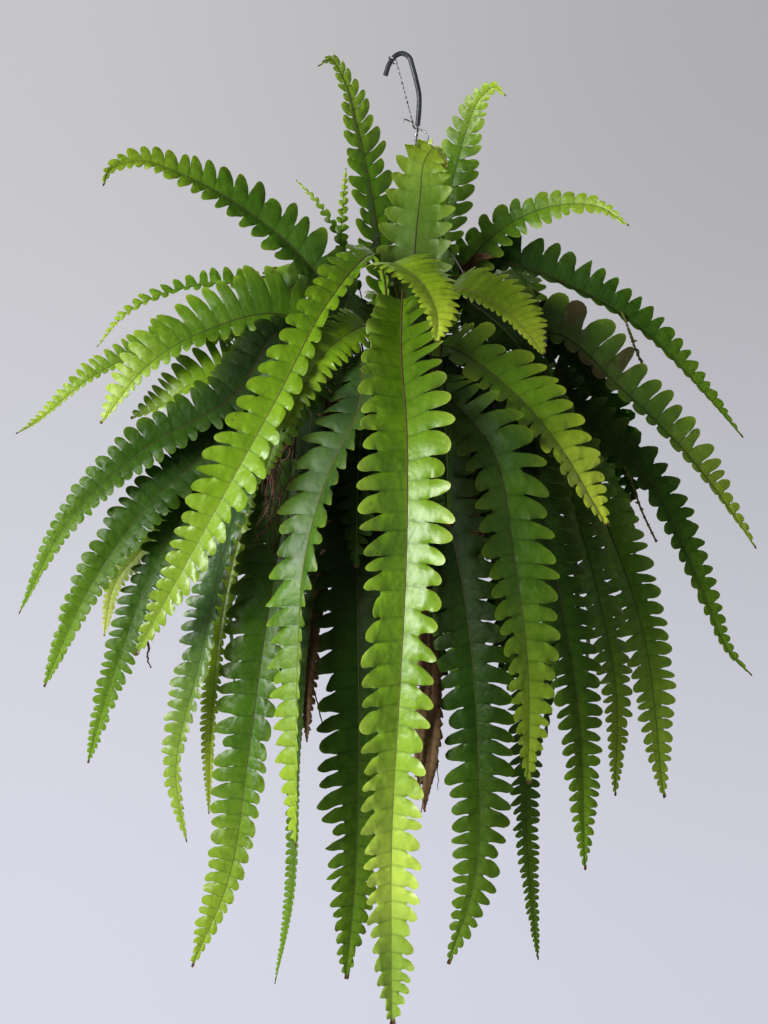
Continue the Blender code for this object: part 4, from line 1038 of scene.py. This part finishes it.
def leaf_material(kind):
    """A blade's surface: a colour that changes along the frond, veins, painted shade in the creases and on
    some bases, pale edges with a painted highlight, and stains.
    """
    green = GREENS[kind]
    deep, bright, tip = colours_of(green)
    material, tree, surface, place = new_material("leaf_" + kind)
    from_middle, out, along = own_values(tree, "leaf")
    lobe, margin, under = own_values(tree, "tone")
    patches = noise_of(place, PATCH_SCALE)
    blotches = noise_of(place, BLOTCH_SCALE, 1.5)
    grain = noise_of(place, GRAIN_SCALE, 2)

    grade = node("Math", {0: along, 1: 0.8, 2: -0.35}, operation="MULTIPLY_ADD")
    grade = plus(plus(plus(grade, patches), times(lobe, 0.35)), times(blotches, 0.3))
    colour = blended(stepped(grade, 0.1, 1.3), deep, bright)
    tipward = plus(along, times(minus(blotches, 0.5), 0.2))
    colour = blended(stepped(tipward, 0.50, 1.02), colour, tip)
    if kind == "sunny":
        colour = blended(stepped(along, 0.78, 0.92, 0, 0.8), colour, STEEP_GREEN)
    colour = blended(stepped(out, 0.45, 1.15, 0, 0.3), colour, tip)
    vein = stepped(from_middle, 0, 0.2, 0.08, 0)
    colour = blended(vein, colour, tip)
    # Painted shade in the creases between joined lobes, which also dip a little in the relief below
    crease = times(stepped(from_middle, 0.75, 1), minus(1, margin))
    colour = blended(times(crease, 0.5), colour, PAINTED_CREASE_SHADE, "MULTIPLY")
    # Pale edges: a paler margin with a painted highlight along it
    edge = node("Math", {0: margin, 1: 3}, operation="POWER")
    colour = blended(times(edge, 0.4), colour, tip)

    speck = times(stepped(noise_of(place, SPECK_SCALE, 2), 0.69, 0.74), stepped(out, 0.3, 1, 0.15, 0.8))
    colour = blended(speck, colour, SPECK)
    colour = blended(stepped(along, 0.985, 0.995), colour, BROWN_END)
    spoiled = times(stepped(lobe, 0.30, 0.45), stepped(along, 0.38, 0.44, 1, 0.05))
    spoiled = times(spoiled, stepped(along, 0.08, 0.12))
    spoiled = times(spoiled, stepped(plus(out, blotches), 0.6, 1.1, 0.2, 0.85))
    colour = blended(times(spoiled, green.stain / 100), colour, STAIN)
    paler = tuple(channel * 0.8 + added for channel, added in zip(bright, (0.03, 0.035, 0.012)))
    colour = blended(times(under, 0.45), colour, paler)

    rough = plus(plus(times(blotches, 0.3), green.rough / 100 - 0.14), times(under, 0.26))
    if green.shade:
        # Painted shade on the base of some kinds, which lies in the shade of other fronds; it is rougher
        # there too
        darker, until, rougher = [value / 100 for value in green.shade]
        colour = blended(stepped(along, 0.05, until, darker, 0), colour, PAINTED_BASE_SHADE, "MULTIPLY")
        rough = plus(rough, stepped(along, 0.1, until, rougher, 0))
    chevrons = node("Math", {0: minus(times(out, 70), times(from_middle, 9))}, operation="SINE")
    height = plus(plus(times(blotches, 0.9), times(grain, 0.02)), times(chevrons, 0.004))
    height = minus(height, times(crease, 0.03))
    connect(surface, colour, rough, height, LEAF_RELIEF, 0.5, Coat_Weight=green.coat / 100,
            Coat_Roughness=COAT_ROUGHNESS, Specular_IOR_Level=green.specular / 100, Subsurface_Weight=GLOW,
            Subsurface_Radius=GLOW_RADIUS, Subsurface_Scale=GLOW_DEPTH)
    return material


def stem_material(name, base, tip):
    """A midrib and its stem: brown at the base and greener at the tip, with fine dark scales."""
    material, tree, surface, place = new_material(name)
    along = own_values(tree, "leaf")[2]
    scales = noise_of(place, 700)
    colour = blended(stepped(plus(along, times(scales, 0.2)), 0.35, 1.1), base, tip)
    colour = blended(stepped(scales, 0.55, 0.7, 0, 0.6), colour, SCALE_BROWN)
    connect(surface, colour, stepped(scales, 0.2, 0.8, 0.6, 0.85), scales, 0.0004, Specular_IOR_Level=0.25)
    return material


def plain_material(name, colours, scale, rough, depth, stretch=(1, 1, 1), metallic=0, mark=None):
    """A surface with two mixed colours, uneven gloss and relief, and perhaps small marks of a third."""
    material, tree, surface, place = new_material(name)
    stretched = node("Mapping", {0: place, 3: stretch})
    coarse = noise_of(stretched, scale, 5)
    fine = noise_of(stretched, scale * 6, 2)
    share = plus(stepped(coarse, 0.3, 0.7), minus(own_values(tree, "tone")[0], 0.5))
    colour = blended(node("Clamp", {0: share}), *colours)
    if mark is not None:
        colour = blended(stepped(noise_of(place, scale * 1.7), 0.6, 0.68), colour, mark)
    height = plus(coarse, times(fine, 0.35))
    connect(surface, colour, stepped(fine, 0.3, 0.7, *rough), height, depth, Metallic=metallic)
    return material


def make_materials():
    """The materials of the basket, the soil, the hanger and the roots."""
    return {
        "fibre": plain_material("fibre", ((0.045, 0.022, 0.010), (0.26, 0.145, 0.065)), 260, (0.75, 0.98),
                                0.0012, (1, 1, 3)),
        "earth": plain_material("earth", ((0.010, 0.006, 0.004), (0.060, 0.036, 0.020)), 190, (0.8, 1.0),
                                0.002, mark=(0.13, 0.085, 0.05)),
        "roots": plain_material("roots", ((0.035, 0.015, 0.007), (0.22, 0.105, 0.045)), 420, (0.65, 0.95),
                                0.0005),
        "dark_steel": plain_material("dark_steel", ((0.010, 0.011, 0.012), (0.030, 0.031, 0.034)), 240,
                                     (0.32, 0.6), 0.0002, mark=(0.075, 0.035, 0.018)),
        "steel": plain_material("steel", ((0.16, 0.165, 0.175), (0.42, 0.43, 0.45)), 380, (0.28, 0.55),
                                0.0001, metallic=1),
        "coating": plain_material("coating", ((0.016, 0.019, 0.026), (0.050, 0.058, 0.075)), 150,
                                  (0.34, 0.52), 0.0002, (1, 1, 0.3)),
    }


# The basket's finer parts
FINE_SIDES = 96
LINER_ROWS = 44
LIP_HEIGHT = 0.0022
# How rough the liner is across and upwards, how far its rim waves, and how rough the soil is
LINER_ROUGH = 0.0007
LINER_ROUGH_UP = 0.0006
LINER_SUNK = 0.0004
RIM_WAVES = 0.0008
SOIL_ROUGH = 0.0009
FIBRES = 640
CRUMBS = 420
# A bead of weld: places along the wire, and its thickness there, as shares of the wire's radius
WELD_PLACES = (-1.6, -0.8, 0, 0.8, 1.6)
WELD_SIZES = (0.9, 1.22, 1.32, 1.22, 0.9)


def bowl_curve(offset, rows):
    """The basket's outline like bowl(), at more places."""
    outline = np.array(bowl(offset))
    steps = np.linspace(0, BOWL_STEPS, rows)
    return np.column_stack([np.interp(steps, range(BOWL_STEPS + 1), outline[:, axis]) for axis in range(2)])


def liner_radius(height):
    """The radius of the liner's outside at this height."""
    outline = bowl(0)[::-1]
    return np.interp(height, [level for _, level in outline], [radius for radius, _ in outline])


def revolve(profile, sides, bumps):
    """A solid turned from a profile of radius and height that starts and ends on the axis, with bumps."""
    angles = np.arange(sides) / sides * math.tau
    inner = profile[1:-1]
    radius = inner[:, 0, None] + bumps[0]
    height = inner[:, 1, None] + bumps[1]
    points = np.stack([radius * np.cos(angles), radius * np.sin(angles), height], -1).reshape(-1, 3)
    grid = np.arange(len(points)).reshape(len(inner), sides)
    beside = np.roll(grid, -1, axis=1)
    ends = np.array([(0, 0, profile[0, 1]), (0, 0, profile[-1, 1])])
    top = len(points)
    first = np.column_stack([np.full(sides, top), grid[0], beside[0]])
    last = np.column_stack([grid[-1], np.full(sides, top + 1), beside[-1]])
    return np.concatenate([points, ends]), [round_quads(grid), first, last]


def make_liner(material):
    """The fibre liner: a thick rough mat with loose fibres on it."""
    draw = np.random.default_rng(SEED)
    inner = bowl_curve(-LINER_THICKNESS, LINER_ROWS)
    outer = bowl_curve(0, LINER_ROWS)
    lip = [(RIM_RADIUS - LINER_THICKNESS * share, RIM_Z + LIP_HEIGHT) for share in (0.75, 0.3)]
    profile = np.concatenate([[(0, inner[-1, 1])], inner[::-1], lip, outer, [(0, outer[-1, 1])]])
    rough = draw.normal(0, 1, (len(profile) - 2, FINE_SIDES))
    rough = (rough + np.roll(rough, 1, axis=1) + np.roll(rough, -1, axis=1)) / 3
    waves = draw.normal(0, 1, FINE_SIDES // 8)
    waves = np.interp(np.arange(FINE_SIDES) / 8, np.arange(FINE_SIDES // 8 + 1), np.append(waves, waves[0]))
    on_rim = profile[1:-1, 1:] > RIM_Z - 0.004
    shape = Shape()
    upwards = rough[::-1] * LINER_ROUGH_UP + waves * RIM_WAVES * on_rim
    shape.add(*revolve(profile, FINE_SIDES, (rough * LINER_ROUGH - LINER_SUNK, upwards)))
    for _ in range(FIBRES):
        angle = draw.uniform(0, math.tau)
        height = RIM_Z + 0.002 - abs(draw.normal(0, 0.6)) * BASKET_DEPTH * 0.8
        height = max(height, RIM_Z - BASKET_DEPTH * 0.97)
        swing = draw.uniform(-0.16, 0.16)
        fall = draw.normal(0, 0.007)
        line = []
        for share in (0, 0.25, 0.5, 0.75, 1):
            level = height + fall * share
            radius = liner_radius(level) + 0.0004 + 0.0022 * draw.uniform(0, 1) * math.sin(share * math.pi)
            line.append(polar(radius, angle + swing * share, level))
        shape.add(*tube(line, draw.uniform(0.00012, 0.00024), 3), tone=(draw.uniform(0.25, 1.1), 0, 0))
    shape.piece("coir_liner", [material], ["liner"])


def make_basket_wires(material):
    """The rim ring, the foot ring and the ribs, smooth, with a weld where they meet."""
    outline = bowl_curve(RIB_WIRE + GAP * 2, 17)
    rim = (RING_RADIUS, RIM_Z, RIM_WIRE)
    foot = (BASE_RADIUS * 0.8, outline[-1, 1], RIB_WIRE)
    shape = Shape()
    shape.add(*hoop(*rim, 96))
    shape.add(*hoop(*foot, 64))
    for index in range(RIBS):
        angle = math.tau * index / RIBS
        inward = [rim[:2], *outline[1:], foot[:2]]
        shape.add(*tube([polar(radius, angle, height) for radius, height in inward], RIB_WIRE, 10))
        for radius, height, size in (rim, foot):
            along = np.array((-math.sin(angle), math.cos(angle), 0)) * size
            bead = [polar(radius, angle, height) + along * step for step in WELD_PLACES]
            shape.add(*tube(bead, np.array(WELD_SIZES) * size, 10))
    shape.piece("wire_basket", [material], ["basket_frame"])


def hoop(radius, height, wire, sides, round_sides=10):
    """A closed ring of round wire."""
    around = (np.arange(sides) / sides * math.tau)[:, None]
    about = np.arange(round_sides) / round_sides * math.tau
    reach = radius + wire * np.cos(about)
    level = np.broadcast_to(height + wire * np.sin(about), (sides, round_sides))
    points = np.stack([reach * np.cos(around), reach * np.sin(around), level], -1).reshape(-1, 3)
    grid = np.arange(len(points)).reshape(sides, round_sides)
    return points, [round_quads(np.vstack([grid, grid[:1]]))]


def make_soil(earth, scales):
    """The soil, rough on top, with crumbs of bark and the brown scales of the fern's crown."""
    draw = np.random.default_rng(SEED + 1)
    filling = bowl_curve(-LINER_THICKNESS - GAP * 2, 12)
    edge = filling[0, 0]
    top = [(edge * share, soil_height(edge * share)) for share in np.linspace(0, 1, 26)]
    profile = np.concatenate([top, filling[1:], [(0, filling[-1, 1])]])
    rows = len(profile) - 2
    on_top = np.arange(rows)[:, None] < len(top) - 2
    rough = draw.normal(0, 1, (rows, FINE_SIDES)) * on_top
    shape = Shape()
    shape.add(*revolve(profile, FINE_SIDES, (0, rough * SOIL_ROUGH)))
    for index in range(CRUMBS):
        angle = draw.uniform(0, math.tau)
        radius = edge * math.sqrt(draw.uniform(0, 0.96))
        crown = index % 3 == 0 and radius < edge * 0.9
        middle = np.array(polar(radius, angle, soil_height(radius) + 0.0004))
        lean = np.array((draw.normal(0, 0.6), draw.normal(0, 0.6), 1.4 if crown else 0.15))
        lean *= draw.uniform(0.003, 0.008) / np.linalg.norm(lean)
        line = [middle + lean * share for share in (-0.3, 0, 0.5, 1)]
        thick = draw.uniform(0.0008, 0.0018)
        points, faces = tube(line, np.array((0.6, 1, 0.8, 0.25)) * thick, 5, 0.6, draw.uniform(0, 3))
        shape.add(points, faces, 1 if crown else 0, tone=(draw.uniform(0.2, 1.2), 0, 0))
    shape.piece("potting_soil", [earth, scales], ["soil"], flat=True)


# The hanger's twist and the roots' curls
TWIST_LENGTH = 0.009
# Each of two twisted wires: its steps, how far it swings and how thick it is, as shares of the pair's radius
STRAND_STEP = 1.6
STRAND_SWING = 0.5
STRAND_SIZE = 0.56
# How much thinner than wide the strap is, and the steps of a leg
STRAP_FLATNESS = 0.86
LEG_STEP = 0.01
SMOOTH_STEPS = 8
ROOT_HAIRS = 5
TANGLE = 34
TANGLE_STEPS = 16
# The curled ends of the tie wire at the top of the stem: pixels, and how far towards the camera in cm
TAILS = [
    [(417.4, 129, 0), (414.5, 128, 0.36), (409, 121, 0.4), (404, 119.5, 0.4), (402.5, 122.5, 0.35)],
    [(417.5, 129, 0), (424, 131, 0.1), (428, 138, 0.2), (426.5, 145, 0.3)],
]


def smooth_line(points, steps=SMOOTH_STEPS):
    """A finer line through the points."""
    points = [Vector(point) for point in points]
    return smooth_path(points, (points[1] - points[0]).normalized(), steps)


def evenly(line, step):
    """The line at equal steps."""
    line = np.asarray(line)
    lengths = np.concatenate([[0], np.cumsum(np.linalg.norm(np.diff(line, axis=0), axis=1))])
    wanted = np.linspace(0, lengths[-1], max(3, int(lengths[-1] / step) + 1))
    return np.column_stack([np.interp(wanted, lengths, line[:, axis]) for axis in range(3)])


def add_strands(shape, line, radius):
    """Adds two thin wires twisted round each other along a line."""
    line = evenly(line, radius * STRAND_STEP)
    lengths = np.arange(len(line)) * np.linalg.norm(line[1] - line[0])
    tangents = units(np.gradient(line, axis=0))
    aside = units(np.cross(tangents, (0.2, 1.0, 0.1)))
    other = np.cross(tangents, aside)
    angles = (lengths / TWIST_LENGTH * math.tau)[:, None]
    swing = (aside * np.cos(angles) + other * np.sin(angles)) * radius * STRAND_SWING
    for side in (1, -1):
        shape.add(*tube(line + swing * side, radius * STRAND_SIZE))


def leg_line(angle):
    """One leg of the hanger, from inside the twisted stem down to a small hook under the rim ring."""
    away = Vector(polar(1, angle))
    under = RIM_WIRE + LEG_RADIUS + GAP * 2
    ring_centre = away * RING_RADIUS + Vector((0, 0, RIM_Z))
    points = [photo_point(*LEG_TOP_PIXEL, 0), ring_centre + away * under + Vector((0, 0, under * 1.4))]
    for turn in (0, -45, -90, -135):
        along = math.radians(turn)
        points.append(ring_centre + (away * math.cos(along) + Vector((0, 0, math.sin(along)))) * under)
    return points


def tie_line():
    """The wire that closes the loop: most of a turn round the strap's free end, then down to the stem."""
    low, high = pixel_line(STRAP_PIXELS[1:3])
    lean = (high - low).normalized()
    forward = Vector((0, -1, 0))
    outer = forward.cross(lean)
    around = STRAP_RADIUS + TIE_RADIUS + GAP * 2
    points = []
    for turn in range(-WRAP_TURN, WRAP_TURN + 1, WRAP_STEP):
        angle = math.radians(turn)
        centre = low.lerp(high, WRAP_PLACE) + lean * (turn / WRAP_TURN * TIE_RADIUS * 1.6)
        points.append(centre + (forward * math.sin(angle) + outer * math.cos(angle)) * around)
    end = photo_point(*TIE_END_PIXEL, 0)
    return points + [points[-1].lerp(end, 0.5), end]


def make_hanger(materials):
    """The coated strap, the twisted tie wire, and the stem with its tails and legs."""
    strap = Shape()
    strap.add(*tube(smooth_line(pixel_line(STRAP_PIXELS)), STRAP_RADIUS, 16, STRAP_FLATNESS))
    strap.piece("coated_strap", [materials["coating"]], ["hanger_strap"])
    tie = Shape()
    add_strands(tie, tie_line(), TIE_RADIUS)
    tie.piece("tie_wire", [materials["steel"]], ["hanger_tie"])
    wires = Shape()
    add_strands(wires, smooth_line(pixel_line(STEM_PIXELS)), STEM_RADIUS)
    for places in TAILS:
        wires.add(*tube(smooth_line(photo_line(places)), TAIL_RADIUS, 8))
    for angle in LEG_ANGLES:
        points = leg_line(math.radians(angle))
        straight = evenly([tuple(point) for point in points[:2]], LEG_STEP)
        wires.add(*tube(np.concatenate([straight, smooth_line(points[1:])[1:]]), LEG_RADIUS, 8), 1)
    wires.piece("hanger_twist", [materials["steel"], materials["dark_steel"]], ["hanger_wires"])


def make_roots(material):
    """The curly brown roots that come out by the rim on the left, with fine hairs."""
    draw = np.random.default_rng(SEED + 2)
    shape = Shape()
    for _ in range(TANGLE):
        spread = math.radians(draw.uniform(-1.5, 1.5) * ROOT_SPREAD)
        angle = math.radians(ROOT_ANGLE) + spread * 0.3
        height = RIM_Z - ROOT_START_DROP - draw.uniform(0, 0.02)
        length = draw.uniform(0.05, 0.17)
        stand_off = draw.uniform(0, 0.006)
        phases = draw.uniform(0, math.tau, 2)
        line = []
        for step in range(TANGLE_STEPS):
            share = step / (TANGLE_STEPS - 1)
            level = height - length * share + 0.004 * math.sin(share * 14 + phases[0])
            radius = liner_radius(min(level, RIM_Z)) + ROOT_RADIUS + stand_off * min(1, share * 5)
            radius += 0.005 * share * (1 + math.sin(share * 11 + phases[1]))
            turn = angle + spread * share + 0.05 * math.sin(share * 9 + phases[1])
            line.append(polar(radius, turn, level))
        line = smooth_line(line, 3)
        thick = draw.uniform(0.4, 1.0) * ROOT_RADIUS
        tone = (draw.uniform(0.1, 1.0), 0, 0)
        shape.add(*tube(line, thick * np.linspace(1, 0.35, len(line))), tone=tone)
        for _ in range(ROOT_HAIRS):
            start = line[draw.integers(3, len(line))]
            way = draw.normal(0, 1, 3)
            way *= draw.uniform(0.004, 0.011) / np.linalg.norm(way)
            hair = [start, start + way * 0.5 + (0, 0, -0.001), start + way + (0, 0, -0.003)]
            shape.add(*tube(hair, (0.00022, 0.00018, 0.0001), 3), tone=tone)
    shape.piece("root_mass", [material], ["root_tangle"])


# The camera stands where the photo's did, and the light comes from the left, as in the photo
FLOOR_Z = -1.32
FLOOR_RADIUS = 1.4
FLOOR_THICKNESS = 0.02
FLOOR_SIDES = 128
LIGHTS = [("window", (-1.9, -1.75, 0.1), 1.15, 92, (1.0, 0.99, 0.96)),
          ("room", (1.9, -1.9, 0.1), 2.2, 4, (0.93, 0.96, 1.0)),
          ("behind", (-0.3, 2.6, 0.9), 2.2, 40, (1.0, 0.99, 0.97)),
          ("corner", (2.6, 1.1, 0.5), 1.8, 16, (0.96, 0.98, 1.0))]
LOOK_AT = Vector((0, 0, -0.42))
# The light of the surroundings, and the background that the camera sees, low and high and at the right
AMBIENT = 0.13
AMBIENT_COLOUR = (1.0, 0.98, 0.90)
SEEN_LOW = (0.70, 0.705, 0.81)
SEEN_HIGH = (0.57, 0.565, 0.585)
SEEN_RIGHT = 0.90
SEEN_RIGHT_HIGH = 0.74


def placed(name, data, place):
    """A new object in the scene."""
    made = bpy.data.objects.new(name, data)
    made.location = place
    bpy.context.scene.collection.objects.link(made)
    return made


def make_camera():
    data = bpy.data.cameras.new("camera")
    data.sensor_width = SENSOR
    data.lens = SENSOR * FOCAL_PIXELS / LONG_SIDE
    made = placed("camera", data, camera_place())
    made.rotation_euler = (math.pi / 2, 0, 0)
    bpy.context.scene.camera = made


def make_floor():
    """A plain pale round floor, below what the camera sees at rest."""
    angles = np.arange(FLOOR_SIDES) / FLOOR_SIDES * math.tau
    rim = np.array([polar(FLOOR_RADIUS, angle, FLOOR_Z) for angle in angles])
    points = np.concatenate([rim, rim - (0, 0, FLOOR_THICKNESS)])
    top = np.arange(FLOOR_SIDES)
    bottom = top + FLOOR_SIDES
    wall = np.column_stack([top, bottom, np.roll(bottom, -1), np.roll(top, -1)])
    mesh = bpy.data.meshes.new("floor")
    mesh.from_pydata(points.tolist(), [], [top.tolist(), bottom[::-1].tolist()] + wall.tolist())
    pale = ((0.60, 0.59, 0.60), (0.66, 0.65, 0.66))
    mesh.materials.append(plain_material("floor", pale, 30, (0.7, 0.9), 0.0005))
    placed("floor", mesh, (0, 0, 0))


def make_light():
    """Soft lights round the fern, and a world whose seen background isn't the light that it gives."""
    for name, place, size, power, colour in LIGHTS:
        data = bpy.data.lights.new(name, "AREA")
        data.shape = "SQUARE"
        data.size = size
        data.energy = power
        data.color = colour
        made = placed(name, data, place)
        made.rotation_euler = (LOOK_AT - Vector(place)).to_track_quat("-Z", "Y").to_euler()
    world = bpy.data.worlds.new("studio")
    bpy.context.scene.world = world
    world.use_nodes = True
    tree = world.node_tree
    across, _, up = parts_of(node("TexCoord", {}, 0, tree))
    seen = blended(stepped(up, -0.3, 0.3), SEEN_LOW, SEEN_HIGH)
    right = stepped(up, -0.3, 0.3, SEEN_RIGHT, SEEN_RIGHT_HIGH)
    dimmer = stepped(across, -0.25, 0.25, 1, right)
    by_eye = node("LightPath", {}, 0, tree)
    back = tree.nodes["Background"]
    tree.links.new(blended(by_eye, AMBIENT_COLOUR, seen), back.inputs["Color"])
    tree.links.new(times(dimmer, stepped(by_eye, 0, 1, AMBIENT, 1)), back.inputs["Strength"])
    bpy.context.scene.view_settings.view_transform = "Standard"


# The kinds of leaf with an olive midrib
OLIVE_RIBBED = ("fresh", "sunny", "lemon", "lime", "satin", "pale", "blond")


def main():
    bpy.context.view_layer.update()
    make_camera()
    materials = make_materials()
    scales = stem_material("crown_scales", (0.10, 0.045, 0.018), (0.20, 0.10, 0.04))
    dark_stem = stem_material("stem_dark", (0.030, 0.015, 0.007), (0.09, 0.13, 0.03))
    olive_stem = stem_material("stem_olive", (0.085, 0.060, 0.018), (0.20, 0.24, 0.05))
    dry_stem = stem_material("stem_dry", (0.05, 0.022, 0.010), (0.14, 0.07, 0.03))
    runner = stem_material("runner", (0.19, 0.19, 0.045), (0.26, 0.30, 0.07))
    leaves = {}
    for kind in GREENS:
        stem = dry_stem if kind == "dry" else olive_stem if kind in OLIVE_RIBBED else dark_stem
        leaves[kind] = [leaf_material(kind), stem]
    make_liner(materials["fibre"])
    make_basket_wires(materials["dark_steel"])
    make_soil(materials["earth"], scales)
    make_hanger(materials)
    make_roots(materials["roots"])
    make_fronds(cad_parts, leaves)
    make_fillers(leaves)
    make_twigs(dry_stem)
    make_runners(runner)
    make_scraps(leaves)
    make_strands(materials["roots"])
    make_floor()
    make_light()
    bpy.context.view_layer.update()


main()
